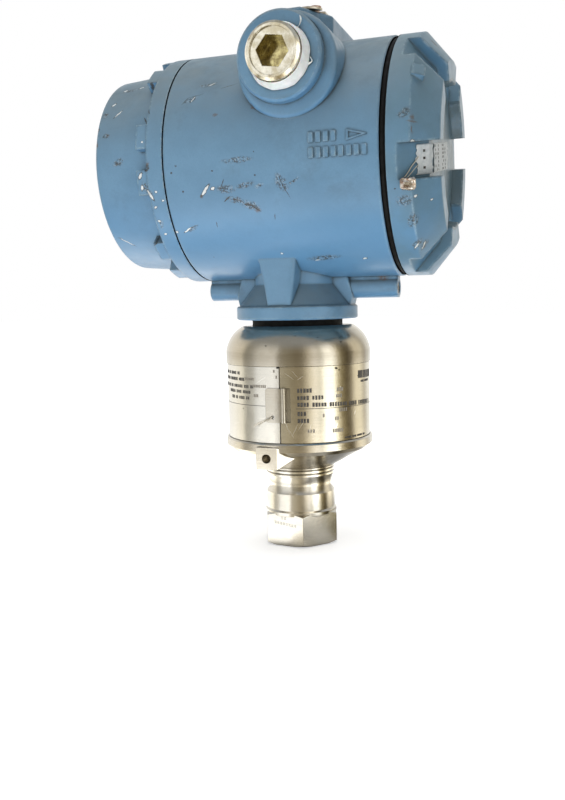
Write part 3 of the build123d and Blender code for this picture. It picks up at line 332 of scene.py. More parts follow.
def weathered_and_shaded(g, facing, hollow):
    """Mottled blue, dusty and painted greyer as shade on top, grimy in patches, dirty and painted dark as
    shade in its hollows, painted a brighter blue as light underneath and near black as shade in its crevices,
    and the mask of the top's dust and painted shade.
    """
    base = g.mix(g.span(g.noise(55, 4, 0.6), 0.3, 0.7), BLUE, PALE_BLUE)
    base = g.mix(g.span(g.noise(1500, 3, 0.7), 0.35, 0.75, 0.0, 0.28), base, SPECKLED_BLUE)
    # Dust, and painted shade: upward faces turn greyer
    dust_and_top_shade = g.times(g.span(facing, -0.15, 0.85), g.span(g.noise(90, 5, 0.65), 0.15, 0.75, 0.55, 0.95))
    base = g.mix(dust_and_top_shade, base, DUST_AND_TOP_SHADE)
    base = g.mix(g.span(g.noise(28, 6, 0.7), 0.5, 0.7, 0.0, 0.5), base, GRIME)
    # Dirt, and painted shade: the hollows, found by occlusion, go darker in patches
    dirt_and_hollow_shade = g.times(g.span(hollow, 0.35, 0.85, 1.0, 0.0), g.span(g.noise(240, 5, 0.7), 0.3, 0.65, 0.2, 0.7))
    base = g.mix(dirt_and_hollow_shade, base, DIRT_AND_HOLLOW_SHADE)
    # Painted light: faces turned downward take a brighter, bluer tone
    base = g.mix(g.span(facing, -0.75, -0.1, 0.65, 0.0), base, UNDERSIDE_LIGHT_BLUE)
    # Painted shade: near black in the narrowest crevices, found by occlusion
    return g.mix(g.span(g.openness(0.0012, 4), 0.45, 0.88, 0.75, 0.0), base, CREVICE_SHADE), dust_and_top_shade


def terminal_tone(g, base, x, radial):
    """The terminal cover is greener than the rest, with painted shade darkening its recess."""
    base = g.mix(g.span(g.noise(70, 4, 0.6), 0.3, 0.7, 0.15, 0.6), base, GREENER_BLUE)
    # Painted shade: the recess darkens in patches
    recess = g.times(g.less(radial, RECESS_RADIUS * MM), g.more(x, RECESS_FLOOR * MM))
    return g.mix(g.times(recess, g.span(g.noise(120, 4, 0.6), 0.3, 0.6, 0.45, 0.8)), base, RECESS_SHADE)


def rubbed_and_highlit(g, base, rounded, hollow):
    """Paler edges, worn paint and painted edge highlights, found from the rounded against the flat normal,
    and the mask of worn spots.
    """
    flat = g.add("ShaderNodeNewGeometry").outputs["Normal"]
    bend = g.vectors("DOT_PRODUCT", rounded, flat)["Value"]
    sharp = g.span(g.minus(1.0, bend), 0.05, 0.16)
    edge = g.times(sharp, g.span(g.noise(330, 4, 0.7), 0.4, 0.62), g.span(hollow, 0.8, 0.95))
    worn = g.times(edge, g.span(g.noise(700, 5, 0.7), 0.6, 0.68))
    # Worn paint, and painted highlights along the edges
    return g.mix(g.times(edge, 0.8), base, RUBBED_HIGHLIGHT_BLUE), worn


def specked(g, base):
    """Fine dark specks in about one in seven of a net's cells."""
    cells = g.add("ShaderNodeTexVoronoi", {"Vector": g.wobble(0.0008, 800), "Scale": 150.0})
    chance = g.split(cells.outputs["Color"])[0]
    speck = g.times(g.less(cells.outputs["Distance"], 0.045), g.more(chance, 0.86))
    return g.mix(g.times(speck, 0.8), base, SPECK)


def damaged(g, base, chips, scratches, scuffs, rust):
    """The photograph's rust, scuffs, scratches and dark chip edges, and the mask of the chips."""
    stain = g.span(g.marks(rust, "X", 0.0016, 700), 0.3, 1.25, 0.85, 0.0)
    base = g.mix(g.times(stain, g.span(g.noise(900, 5, 0.8), 0.3, 0.6, 0.2, 1.0)), base, RUST)
    area = g.span(g.marks(scuffs, "X", 0.0022, 420), 0.45, 1.15, 1.0, 0.0)
    base = g.mix(g.times(area, g.span(g.noise(1300, 6, 0.75), 0.5, 0.58), 0.75), base, PALE_SCUFF)
    base = g.mix(g.times(area, g.span(g.noise(1000, 6, 0.8), 0.475, 0.53), 0.9), base, DARK_SCUFF)
    broken = g.span(g.noise(1700, 4, 0.7), 0.34, 0.48)
    line = g.span(g.marks(scratches, "X", 0.0008, 900), 0.9, 1.6, 0.95, 0.0)
    base = g.mix(g.times(line, broken), base, SCRATCH)
    chip = g.marks(chips, "X", 0.0011, 900)
    base = g.mix(g.span(chip, 1.05, 1.5, 0.85, 0.0), base, CHIP_EDGE)
    return base, g.span(chip, 0.85, 1.0, 1.0, 0.0)


def enamel(part, chips, scratches, scuffs, rust):
    """Worn blue enamel over cast aluminium, bare and threaded where the part is machined."""
    g = Graph("blue_enamel_" + part, {"IOR": 1.48})
    x, y, z = g.split(g.coords)
    rise = g.minus(z, AXIS * MM)
    radial = g.radius_about(y, rise)
    bare, gap_shade = machined(g, part, x, z, radial)
    hollow = g.openness(0.0035, 6)
    rounded = g.bevel(0.0016)
    base, dust_and_top_shade = weathered_and_shaded(g, g.split(g.normal)[2], hollow)
    if part == "terminal":
        base = terminal_tone(g, base, x, radial)
    base, worn = rubbed_and_highlit(g, base, rounded, hollow)
    base, chipped = damaged(g, specked(g, base), chips, scratches, scuffs, rust)
    chipped = g.either(chipped, worn)
    base = g.mix(chipped, base, CHIP)
    # Machined metal with its thread
    around = g.maths("ARCTAN2", y, rise)
    phase = g.plus(g.times(x, 2 * math.pi / (COVER_PITCH * MM)), around)
    wall = g.times(g.more(radial, THREAD_CREST * MM), g.less(radial, THREAD_ROOT * MM), bare)
    thread = g.times(g.maths("SINE", phase), wall)
    turned = g.noise(1.0, 2, 0.5, g.stretched((5200, 60, 60)))
    base = g.mix(bare, base, g.mix(g.span(turned, 0.3, 0.7), TURNED_DARK, TURNED_PALE))
    # Painted shade: the joint faces go near black and lose their sheen
    g.set("Base Color", g.mix(gap_shade, base, GAP_SHADE))
    clean = g.minus(1.0, gap_shade)
    g.set("Metallic", g.times(g.either(g.times(bare, 0.95), g.times(chipped, 0.1)), clean))
    g.set("Specular IOR Level", g.times(clean, 0.5))
    g.set("Roughness", g.plus(g.span(g.noise(260, 4, 0.6), 0.3, 0.7, 0.28, 0.38), g.times(dust_and_top_shade, 0.16)))
    peel = g.bump(g.noise(420, 2, 0.5), 0.00004, rounded, 0.7)
    cast = g.bump(g.noise(2600, 3, 0.6), 0.00003, peel, 0.7)
    dents = g.bump(g.times(chipped, -1.0), 0.00012, cast)
    g.set("Normal", g.bump(thread, 0.0005, dents))
    return g.material


# How the noise is drawn out into turning lines about each axis
LINES = {"Z": (70, 70, 6500), "X": (6500, 70, 70), "": (900, 900, 900)}
# Heights on the module, in mm, between which painted shade darkens the dome's top and a painted reflection
# pales the stem
DOME_SHADE_HEIGHTS, STEM_LIGHT_HEIGHTS = (79.5, 84.0), (30.0, 46.0)
# Angles about the module, in degrees from the front: the name plate's ruled split and its yellower end
SPLIT_AT, YELLOW_END = 3.3, 150
LIGHT_STEEL, BROWN_STEEL = (0.6, 0.57, 0.51), (0.43, 0.375, 0.275)
FOIL, OLD_FOIL = (0.72, 0.68, 0.58), (0.6, 0.53, 0.39)
PALE_CAST, DULL_CAST = (0.68, 0.68, 0.67), (0.56, 0.56, 0.55)


def steel(
    name, light, brown, rough=(0.13, 0.25), lines="Z", marked=False, label=False, soft=0.0003, patina=0.5
):
    """Turned stainless with fine lines, brown patina, painted shade in its hollows and, on the module,
    painted shade on the dome, a painted reflection on the stem and the photograph's scratches.
    """
    brushed = 0.6 if lines == "Z" else 0.0
    g = Graph(name, {"Metallic": 1.0, "Anisotropic": brushed, "Anisotropic Rotation": 0.25})
    x, y, z = g.split(g.coords)
    turned = g.noise(1.0, 3, 0.6, g.stretched(LINES[lines]))
    base = g.mix(g.span(g.noise(45, 5, 0.65), 0.3, 0.72, 0.0, patina), light, brown)
    base = g.mix(g.span(turned, 0.35, 0.75, 0.0, 0.22), base, (0.3, 0.275, 0.23))
    base = g.mix(g.span(g.noise(1300, 5, 0.75), 0.62, 0.74, 0.0, 0.18), base, (0.16, 0.13, 0.1))
    if marked:
        dark_from, dark_to = (height * MM for height in DOME_SHADE_HEIGHTS)
        pale_from, pale_to = (height * MM for height in STEM_LIGHT_HEIGHTS)
        # Painted shade: the dome's top darkens
        base = g.mix(g.span(z, dark_from, dark_to, 0.0, 0.45), base, (0.3, 0.26, 0.19))
        # Painted reflection: the stem pales towards its foot
        base = g.mix(g.span(z, pale_from, pale_to, 0.2, 0.0), base, (0.7, 0.69, 0.66))
    if lines == "Z":
        # Painted shade: dark brown in the hollows, found by occlusion
        base = g.mix(g.span(g.openness(0.0018, 4), 0.4, 0.85, 0.85, 0.0), base, (0.05, 0.04, 0.028))
    if label:
        around = g.maths("ARCTAN2", x, g.times(y, -1.0))
        yellow = g.times(g.more(around, math.radians(SPLIT_AT)), g.less(around, math.radians(YELLOW_END)))
        base = g.mix(yellow, g.mix(0.55, base, (0.74, 0.74, 0.73)), base)
        from_split = g.maths("ABSOLUTE", g.minus(around, math.radians(SPLIT_AT)))
        base = g.mix(g.span(from_split, 0.004, 0.009, 0.8, 0.0), base, (0.1, 0.085, 0.07))
    level = g.span(g.noise(180, 5, 0.65), 0.3, 0.7, *rough)
    if marked:
        scratch = g.span(g.marks(STEEL_SCRATCHES, "Z", 0.0006, 500), 0.7, 1.1, 0.9, 0.0)
        base = g.mix(scratch, base, (0.92, 0.9, 0.86))
        pit = g.span(g.marks(STEEL_PITS, "Z", 0.0004), 0.7, 1.1, 0.95, 0.0)
        base = g.mix(pit, base, (0.025, 0.022, 0.02))
        level = g.plus(level, g.times(scratch, 0.25))
    g.set("Base Color", base)
    g.set("Roughness", level)
    if lines == "Z":
        g.set("Tangent", g.add("ShaderNodeTangent", direction_type="RADIAL", axis="Z").outputs[0])
    lined = g.bump(turned, 0.000012, g.bevel(soft))
    g.set("Normal", g.bump(g.noise(600, 4, 0.6), 0.00002, lined))
    return g.material


def mottled(name, first, second, rough, scale, depth, inputs=None, bevel=0.0003):
    """Graph and base tone of a surface in two tones, with a roughness range and a fine bump."""
    g = Graph(name, inputs or {})
    grain = g.noise(scale, 5, 0.6)
    base = g.mix(g.span(grain, 0.3, 0.7), first, second)
    base = g.mix(g.span(g.noise(3200, 2, 0.6), 0.55, 0.75, 0.0, 0.3), base, second)
    g.set("Base Color", base)
    g.set("Roughness", g.span(g.noise(scale * 0.6 + 120, 3, 0.6), 0.3, 0.7, *rough))
    g.set("Normal", g.bump(grain, depth, g.bevel(bevel)))
    return g, base


# The conduit plug's hexagonal socket, the station where it starts and the plug's rim, in mm
SOCKET_RADIUS, SOCKET_START, PLUG_RIM = 6.4, -58.1, 8.4


def plug_metal():
    """Bright plated plug, brassy and stained inside its socket."""
    bright, tarnished = (0.8, 0.78, 0.7), (0.5, 0.45, 0.33)
    g, base = mottled("plug_metal", bright, tarnished, (0.08, 0.22), 210, 0.00004, {"Metallic": 1.0})
    x, y, z = g.split(g.coords)
    across = g.radius_about(g.minus(x, CONDUIT_X * MM), g.minus(z, CONDUIT_Z * MM))
    inside = g.times(g.less(across, SOCKET_RADIUS * MM), g.more(y, SOCKET_START * MM))
    stain = g.mix(g.span(g.noise(420, 5, 0.7), 0.35, 0.65), (0.62, 0.55, 0.28), (0.26, 0.21, 0.1))
    rim = g.times(g.span(g.noise(260, 5, 0.7), 0.5, 0.66, 0.0, 0.5), g.more(across, PLUG_RIM * MM))
    base = g.mix(rim, base, (0.2, 0.13, 0.06))
    g.set("Base Color", g.mix(inside, base, stain))
    return g.material


def board():
    """Green lacquered circuit board with copper tracks under it."""
    dark, pale = (0.03, 0.15, 0.07), (0.045, 0.21, 0.1)
    g, base = mottled("board_green", dark, pale, (0.25, 0.4), 300, 0.00002)
    tracks = g.add("ShaderNodeTexBrick", {"Vector": g.coords, "Scale": 260.0, "Mortar Size": 0.05})
    g.set("Base Color", g.mix(g.times(tracks.outputs["Fac"], 0.6), base, (0.1, 0.36, 0.16)))
    return g.material


def glass():
    """Clear window glass with faint smears in its roughness."""
    g = Graph("window_glass", {"Transmission Weight": 1.0, "IOR": 1.46, "Base Color": (0.94, 0.96, 0.95)})
    g.set("Roughness", g.span(g.noise(60, 4, 0.6), 0.45, 0.75, 0.01, 0.06))
    g.set("Normal", g.bump(g.noise(120, 2, 0.5), 0.000004))
    return g.material


def coat(node, material):
    """Give a node one material in place of what it came with."""
    node.data.materials.clear()
    node.data.materials.append(material)


# Mottled looks: two tones, roughness range, grain, its depth in metres, other inputs and an edge radius
SOFT_WHITE, DULL, COATED = (
    {"Subsurface Weight": 0.15, "Subsurface Scale": 0.002}, {"Specular IOR Level": 0.15}, {"Coat Weight": 0.6}
)
MOTTLED = {
    "copper_screw": ((0.42, 0.2, 0.12), (0.52, 0.42, 0.36), (0.35, 0.6), 500, 0.00006, {"Metallic": 0.8}),
    "rubber_black": ((0.004, 0.004, 0.004), (0.011, 0.011, 0.011), (0.5, 0.7), 500, 0.00004, DULL),
    "white_tape": ((0.94, 0.94, 0.93), (0.82, 0.82, 0.79), (0.35, 0.5), 380, 0.0001, SOFT_WHITE),
    "paper_tape": ((0.72, 0.74, 0.73), (0.56, 0.6, 0.6), (0.6, 0.8), 700, 0.00005, {}, 0.00005),
    "crimp_copper": ((0.22, 0.12, 0.07), (0.88, 0.84, 0.78), (0.18, 0.36), 700, 0.00012, {"Metallic": 0.95}),
    "display_glass": ((0.36, 0.4, 0.31), (0.4, 0.44, 0.35), (0.12, 0.2), 90, 0.000002, COATED),
    "plastic_black": ((0.022, 0.022, 0.023), (0.045, 0.045, 0.046), (0.35, 0.5), 1200, 0.00003),
    "plastic_grey": ((0.3, 0.31, 0.32), (0.37, 0.38, 0.39), (0.4, 0.55), 1200, 0.00003),
    "print_ink": ((0.035, 0.032, 0.03), (0.075, 0.068, 0.06), (0.4, 0.6), 900, 0.00001),
    "faint_ink": ((0.22, 0.2, 0.17), (0.36, 0.33, 0.28), (0.4, 0.6), 1500, 0.00001, {"Metallic": 0.5}),
    "stamp_metal": ((0.5, 0.48, 0.43), (0.64, 0.62, 0.57), (0.3, 0.5), 900, 0.00001, {"Metallic": 0.6}),
}
looks = {name: mottled(name, *look)[0].material for name, look in MOTTLED.items()}
looks |= {
    "stainless": steel("stainless", LIGHT_STEEL, BROWN_STEEL, marked=True),
    "label_foil": steel("label_foil", FOIL, OLD_FOIL, (0.14, 0.25), marked=True, label=True, soft=0.0001),
    "bare_aluminium": steel("bare_aluminium", PALE_CAST, DULL_CAST, (0.25, 0.4), "X", patina=0.3),
    "small_steel": steel("small_steel", (0.66, 0.63, 0.57), (0.45, 0.38, 0.28), (0.28, 0.45), ""),
    "plug_plate": plug_metal(),
    "board_green": board(),
    "window_glass": glass(),
}
for row in frame["record"]["subparts"]:
    if row["material_slot"] in looks:
        coat(nodes[row["node"]], looks[row["material_slot"]])
for name in ("terminal_screws", "block_screws", "board_screws", "cover_lock_screws", "rotation_set_screw"):
    coat(nodes[name], looks["small_steel"])
coat(nodes["top_plate"], looks["small_steel"])
coat(nodes["housing"], enamel("housing", HOUSING_CHIPS, HOUSING_SCRATCHES, HOUSING_SCUFFS, HOUSING_RUST))
coat(
    nodes["terminal_cover"],
    enamel("terminal", TERMINAL_CHIPS, TERMINAL_SCRATCHES, TERMINAL_SCUFFS, TERMINAL_RUST),
)
coat(nodes["meter_cover"], enamel("meter", METER_CHIPS, METER_SCRATCHES, METER_SCUFFS, METER_RUST))


def attach(shape, material, body, replaced):
    """Show a new object in its material, riding on its body, in place of the nodes that it replaces."""
    scene.collection.objects.link(shape)
    shape.data.materials.append(material)
    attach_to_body(shape, body)
    if replaced:
        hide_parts(*replaced)


def piece(name, bm, look, body, replaced=(), smooth=True, level=0):
    """Turn a bmesh into a finished piece, subdivided to a level."""
    bmesh.ops.remove_doubles(bm, verts=bm.verts, dist=1e-7)
    bmesh.ops.recalc_face_normals(bm, faces=bm.faces)
    mesh = bpy.data.meshes.new(name)
    bm.to_mesh(mesh)
    bm.free()
    mesh.polygons.foreach_set("use_smooth", [smooth] * len(mesh.polygons))
    shape = bpy.data.objects.new(name, mesh)
    if level:
        modifier = shape.modifiers.new("smooth", "SUBSURF")
        modifier.levels = level
        modifier.render_levels = level
    attach(shape, looks[look], body, replaced)


def wire(name, points, radius, body, replaced=()):
    """Short stiff steel wire of one smooth curve through the points, in mm."""
    curve = bpy.data.curves.new(name, "CURVE")
    curve.dimensions = "3D"
    curve.bevel_depth = radius * MM
    curve.bevel_resolution = 3
    curve.resolution_u = 8
    curve.use_fill_caps = True
    spline = curve.splines.new("NURBS")
    spline.points.add(len(points) - 1)
    for point, co in zip(spline.points, points):
        point.co = (*(Vector(co) * MM), 1)
    spline.order_u = 3
    spline.use_endpoint_u = True
    attach(bpy.data.objects.new(name, curve), looks["small_steel"], body, replaced)


def grid(bm, rows, columns, place, wrap_rows=False, wrap_columns=False):
    """Quad sheet of rows x columns vertices, each at place(row, column) in mm."""
    verts = [[bm.verts.new(Vector(place(i, j)) * MM) for j in range(columns)] for i in range(rows)]
    for i in range(rows if wrap_rows else rows - 1):
        for j in range(columns if wrap_columns else columns - 1):
            k, m = (i + 1) % rows, (j + 1) % columns
            bm.faces.new((verts[i][j], verts[i][m], verts[k][m], verts[k][j]))
    return verts


def capped(bm, verts):
    """Close both ends of a sheet that wraps round."""
    bm.faces.new(verts[0])
    bm.faces.new(reversed(verts[-1]))


# Signs of a rectangle's four corners, in order round it
CORNERS = ((-1, -1), (1, -1), (1, 1), (-1, 1))


def block(bm, bottom, top):
    """Small closed solid between two rings of four corners, in mm."""
    rings = (bottom, top)
    capped(bm, grid(bm, 2, 4, lambda i, j: rings[i][j], wrap_columns=True))


# Underside and face of the print on the name plate, in mm from the axis
PRINT_BACK, PRINT_FACE = BAND + 0.01, BAND + 0.05


def arc_bar(bm, start, end, low, high, drop=0.0):
    """Thin closed bar hugging the name plate from one angle to the other, in degrees and mm."""
    steps = max(1, int((end - start) / 3))
    corners = ((PRINT_BACK, low), (PRINT_FACE, low), (PRINT_FACE, high), (PRINT_BACK, high))

    def place(i, j):
        angle = math.radians(start + (end - start) * i / steps)
        radius, height = corners[j]
        height += drop * i / steps
        return radius * math.sin(angle), -radius * math.cos(angle), height

    capped(bm, grid(bm, steps + 1, 4, place, wrap_columns=True))


# A letter's pitch along the name plate at the height given with it, in mm
LETTER_PITCH, LETTER_HEIGHT = 1.15, 1.6


def text_row(bm, start, end, middle, height, drop=0.0):
    """Row of plain blocks in word groups, as print too worn to read."""
    letter = math.degrees(LETTER_PITCH * height / LETTER_HEIGHT / BAND)
    at = start
    left = rng.randint(3, 8)
    while at + letter < end:
        if left:
            tall = height * rng.choice((1.0, 1.0, 1.0, 0.93, 0.86))
            centre_line = middle + drop * (at - start) / max(end - start, 1)
            wide = letter * rng.uniform(0.62, 0.8)
            arc_bar(bm, at, at + wide, centre_line - tall / 2, centre_line + tall / 2)
            at += letter
            left -= 1
        else:
            at += letter * 0.9
            left = rng.randint(2, 8)


# Rows on the name plate: start and end in degrees, height of the middle line, letter height and drop in mm
PRINT_ROWS = [
    (-64, -33, 76.4, 1.35), (-64, -28, 73.9, 1.35), (-66, -18, 71, 1.35), (-52, -21, 68.7, 1.35),
    (-48, -22, 66.2, 1.35), (16.6, 30, 69.7, 1.75), (16.6, 39, 66.7, 1.75), (16.6, 92, 64, 1.75, -1.2),
    (16.6, 25, 60.2, 1.75), (16.6, 26.5, 57.3, 1.75), (75, 92, 71.9, 1), (55, 82, 49.2, 0.9),
    (118, 168, 74.5, 1.5), (118, 160, 71, 1.5), (118, 172, 67.5, 1.5), (-168, -118, 74, 1.5),
    (-160, -118, 69, 1.5),
]
FAINT_ROWS = [
    (-20, -4.5, 71.4, 1.2), (-28, -17, 74.2, 1.2), (-19, -14, 67.4, 1.2), (-1.6, 1.4, 77.7, 1.2),
    (0.4, 2.4, 75.3, 1.2), (48, 54, 69.6, 1.5), (47, 53, 66.9, 1.5), (50, 60, 61, 1.5), (46, 51, 57.6, 1.5),
    (44, 54, 52.6, 1.5), (24, 30, 53, 1.5), (36, 38, 59.2, 1.5),
]
# Rules: start and end in degrees, foot, top and drop in mm
RULES = [(-75, -8.9, 63.2, 63.4, 0.0), (15.5, 99.6, 62.2, 62.4, -0.6)]
# Blocks of the heading, each a little lower than the one before: start and end in degrees
HEADING, HEADING_FOOT, HEADING_TOP, HEADING_DROP = ((71, 78), (79, 85), (86, 92), (93, 98)), 73.3, 76.5, 0.1

bm = bmesh.new()
for row in PRINT_ROWS:
    text_row(bm, *row)
for rule in RULES:
    arc_bar(bm, *rule)
for index, (start, end) in enumerate(HEADING):
    lower = HEADING_DROP * index
    arc_bar(bm, start, end, HEADING_FOOT - lower, HEADING_TOP - lower, -HEADING_DROP)
piece("label_print", bm, "print_ink", "module", smooth=False)
bm = bmesh.new()
for row in FAINT_ROWS:
    text_row(bm, *row)
piece("faint_print", bm, "faint_ink", "module", smooth=False)

# Stamped bars on the hexagon's front flat: each row's height, count, start and tilt
STAMP_TURN, STAMP_PITCH, STAMP_WIDE, STAMP_TALL = -9.9, 1.38, 0.95, 1.25
STAMP_ROWS = ((11.6, 2, -1.9, -0.04), (9.6, 8, -5.2, -0.1))
stamp_turn = math.radians(STAMP_TURN)
out = Vector((math.sin(stamp_turn), -math.cos(stamp_turn), 0))
along = Vector((math.cos(stamp_turn), math.sin(stamp_turn), 0))
bm = bmesh.new()
for height, count, start, tilt in STAMP_ROWS:
    for k in range(count):
        rings = []
        for lift in (0.005, 0.035):
            ring = []
            for a, b in ((0, 0), (STAMP_WIDE, 0), (STAMP_WIDE, STAMP_TALL), (0, STAMP_TALL)):
                shift = k * STAMP_PITCH + a
                rise = Vector((0, 0, height + b + tilt * shift))
                ring.append(out * (HEX_FLATS / 2 + lift) + along * (start + shift) + rise)
            rings.append(ring)
        block(bm, *rings)
piece("hexagon_stamp", bm, "stamp_metal", "module", smooth=False)

# Pipe threads: pitch, height and gap to the bore's wall and to its ends
PIPE_PITCH, PIPE_HEIGHT, WALL_GAP, END_GAP = 1.814, 0.9, 0.03, 0.4


def bore_thread(name, mouth, inward, radius, length, look, body):
    """Female thread standing in from a bore's wall, one helical sheet with faded ends."""
    first, inward = Vector((1, 0, 0)), Vector(inward)
    second = inward.cross(first)
    around, steps = 72, int(length / PIPE_PITCH * 8)
    bm = bmesh.new()

    def place(i, j):
        depth = END_GAP + (length - 2 * END_GAP) * i / steps
        angle = 2 * math.pi * j / around
        phase = (depth / PIPE_PITCH - j / around) % 1.0
        crest = max(0.0, min(1.0, 1.6 - 3.6 * abs(phase - 0.5)))
        fade = max(0.0, min(1.0, depth / (1.5 * PIPE_PITCH), (length - depth) / PIPE_PITCH))
        reach = radius - WALL_GAP - PIPE_HEIGHT * crest * fade
        return Vector(mouth) + inward * depth + (first * math.cos(angle) + second * math.sin(angle)) * reach

    grid(bm, steps + 1, around, place, wrap_columns=True)
    piece(name, bm, look, body)


bore_thread("process_thread", (0, 0, 0), (0, 0, 1), 10.3, 16.5, "stainless", "module")
rear_mouth = (CONDUIT_X, CONDUIT_REAR, CONDUIT_Z)
bore_thread(
    "rear_entry_thread", rear_mouth, (0, -1, 0), 10.6, 17.5, "bare_aluminium", "housing"
)

# Thread tape round the plug: a crumpled wrap, thicker below and to the right.
# Its section is stations along Y with the swell there, and its two ends lie on the plug.
TAPE_FRONT, TAPE_INNER, TAPE_LEAST, TAPE_RADIUS, TAPE_AROUND = -52.04, 10.54, 10.6, 10.7, 144
THICK_SIDE = 0.75
SWELLS = [
    (TAPE_FRONT, None), (-52.05, 1), (-52.5, 1), (-53.2, 0.85), (-54, 0.7), (-54.9, 0.42), (-55.8, 0.25),
    (-56.6, 0.1), (-56.7, None),
]
plug_middle = Vector((CONDUIT_X, 0, CONDUIT_Z))


def wrap_place(i, j):
    angle = 2 * math.pi * i / TAPE_AROUND
    station, swell = SWELLS[j]
    ray = Vector((math.cos(angle), 0, math.sin(angle)))
    if swell is None:
        return plug_middle + ray * TAPE_INNER + Vector((0, station, 0))
    thick = 0.35 + 1.75 * (0.5 + 0.5 * math.cos(angle + THICK_SIDE))
    crumple = noise.noise(Vector((ray.x * 3.1, station * 0.9, ray.z * 3.1)))
    crumple += 0.5 * noise.noise(ray * 9 + Vector((0, station, 0)))
    ragged = 0.5 * noise.noise(Vector((ray.x * 6, 3.0, ray.z * 6))) if j > 4 else 0.0
    radius = max(TAPE_RADIUS + swell * thick + 0.22 * crumple * (0.4 + swell), TAPE_LEAST)
    return plug_middle + ray * radius + Vector((0, min(station + ragged, TAPE_FRONT), 0))


bm = bmesh.new()
grid(bm, TAPE_AROUND, len(SWELLS), wrap_place, wrap_rows=True, wrap_columns=True)
piece("tape_wrap", bm, "white_tape", "housing", ("thread_tape",), level=1)


def tape_curl(name, points, widths, lean):
    """Loose end of thread tape, a narrow strip that twists along the given points, in mm and degrees."""
    toward = Vector((0, -1, 0))
    last = len(points) - 1
    bm = bmesh.new()

    def place(i, j):
        ahead = (Vector(points[min(i + 1, last)]) - Vector(points[max(i - 1, 0)])).normalized()
        turn = math.radians(lean + 35 * i)
        flat = ahead.cross(toward).normalized() * math.cos(turn) + toward * math.sin(turn)
        thick = ahead.cross(flat) * 0.06
        wide, deep = CORNERS[j]
        return Vector(points[i]) + flat * widths[i] * wide + thick * deep

    capped(bm, grid(bm, last + 1, 4, place, wrap_columns=True))
    piece(name, bm, "white_tape", "housing", level=2)


UPPER_CURL = [
    (18.1, -52.35, 202.9), (18.9, -52.7, 203.7), (20, -53, 204.5), (20.6, -53.1, 205.8), (20.6, -52.9, 207),
    (19.9, -52.6, 208.1),
]
SIDE_CURL = [
    (20.6, -52.4, 197.9), (21.6, -52.6, 196.3), (22.6, -52.8, 194.7), (23.7, -52.9, 193.1),
    (24.8, -52.7, 191.6), (23.4, -52.6, 191.1), (22.3, -52.5, 190.6), (22, -52.4, 189.8),
]
tape_curl("tape_curl_upper", UPPER_CURL, (0.6, 0.62, 0.55, 0.48, 0.4, 0.18), 10)
tape_curl("tape_curl_side", SIDE_CURL, (0.95, 0.85, 0.72, 0.6, 0.5, 0.44, 0.36, 0.18), 0)

# Tamper tape in the front slot: two torn lengths that follow the slot's ramp and floor.
# The slot's turn about the barrel is in degrees, its stations and distances from the axis in mm.
SLOT_TURN = -9.5
RAMP_TOP, RAMP_X, FLOOR_X, FOOT = 47.52, 53.5, 63.3, 34.0
SLOPE = (FLOOR_X - RAMP_X) / (RAMP_TOP - FOOT)
TAPE_WIDTH, TAPE_THICK = 10.8, 0.12
slot_turn = math.radians(SLOT_TURN)
spoke = Vector((0, -math.cos(slot_turn), math.sin(slot_turn)))
side = Vector((0, math.sin(slot_turn), math.cos(slot_turn)))
centre = Vector((0, 0, AXIS))


def over_slot(reach, across, lift):
    """Point over the slot's ramp or floor, at a distance from the axis and across the slot."""
    point = centre + spoke * reach + side * across
    point.x = lift + (FLOOR_X if reach <= FOOT else FLOOR_X - (reach - FOOT) * SLOPE)
    return point


def torn_tape(name, near, far, near_tear, far_tear, seed, replaced=()):
    """Wrinkled paper tape between two torn ends, given as distances from the axis and depths of tear."""
    lengthwise, crosswise = 34, 25
    bm = bmesh.new()

    def place(layer, i, j):
        across = TAPE_WIDTH * (j / (crosswise - 1) - 0.5)
        share = i / (lengthwise - 1)
        first = near + near_tear * noise.noise(Vector((across * 0.9, seed + 0.4, 0.3)))
        last = far + far_tear * noise.noise(Vector((across * 0.8, seed + 5.4, 0.3)))
        reach = first + (last - first) * share
        wrinkle = 0.1 * noise.noise(Vector((reach * 0.5, across * 0.35, seed)))
        wrinkle += 0.05 * noise.noise(Vector((reach * 1.7, across * 1.1, seed)))
        near_end = max(0.0, 1 - 6 * min(share, 1 - share))
        curl = 0.22 * near_end * (0.5 + noise.noise(Vector((across, seed, 3))))
        return over_slot(reach, across, 0.1 + abs(wrinkle) + max(curl, 0) + TAPE_THICK * layer)

    top = grid(bm, lengthwise, crosswise, lambda i, j: place(1, i, j))
    bottom = grid(bm, lengthwise, crosswise, lambda i, j: place(0, i, j))
    loop = [(0, j) for j in range(crosswise)] + [(i, crosswise - 1) for i in range(1, lengthwise)]
    loop += [(lengthwise - 1, j) for j in range(crosswise - 2, -1, -1)]
    loop += [(i, 0) for i in range(lengthwise - 2, 0, -1)]
    for (a, b), (c, d) in zip(loop, loop[1:] + loop[:1]):
        bm.faces.new((top[a][b], top[c][d], bottom[c][d], bottom[a][b]))
    piece(name, bm, "paper_tape", "terminal_cap", replaced)


# Printed marks on the tape: their length and the heights of their underside and face over the slot, in mm
DASH_LENGTH, DASH_LIFTS = 0.9, (0.3, 0.36)


def dash(bm, reach, across, width):
    """Printed mark on the tape, at a distance from the axis and across the slot."""
    corners = [(reach + a * width / 2, across + b * DASH_LENGTH / 2) for a, b in CORNERS]
    block(bm, *([over_slot(r, s, lift) for r, s in corners] for lift in DASH_LIFTS))


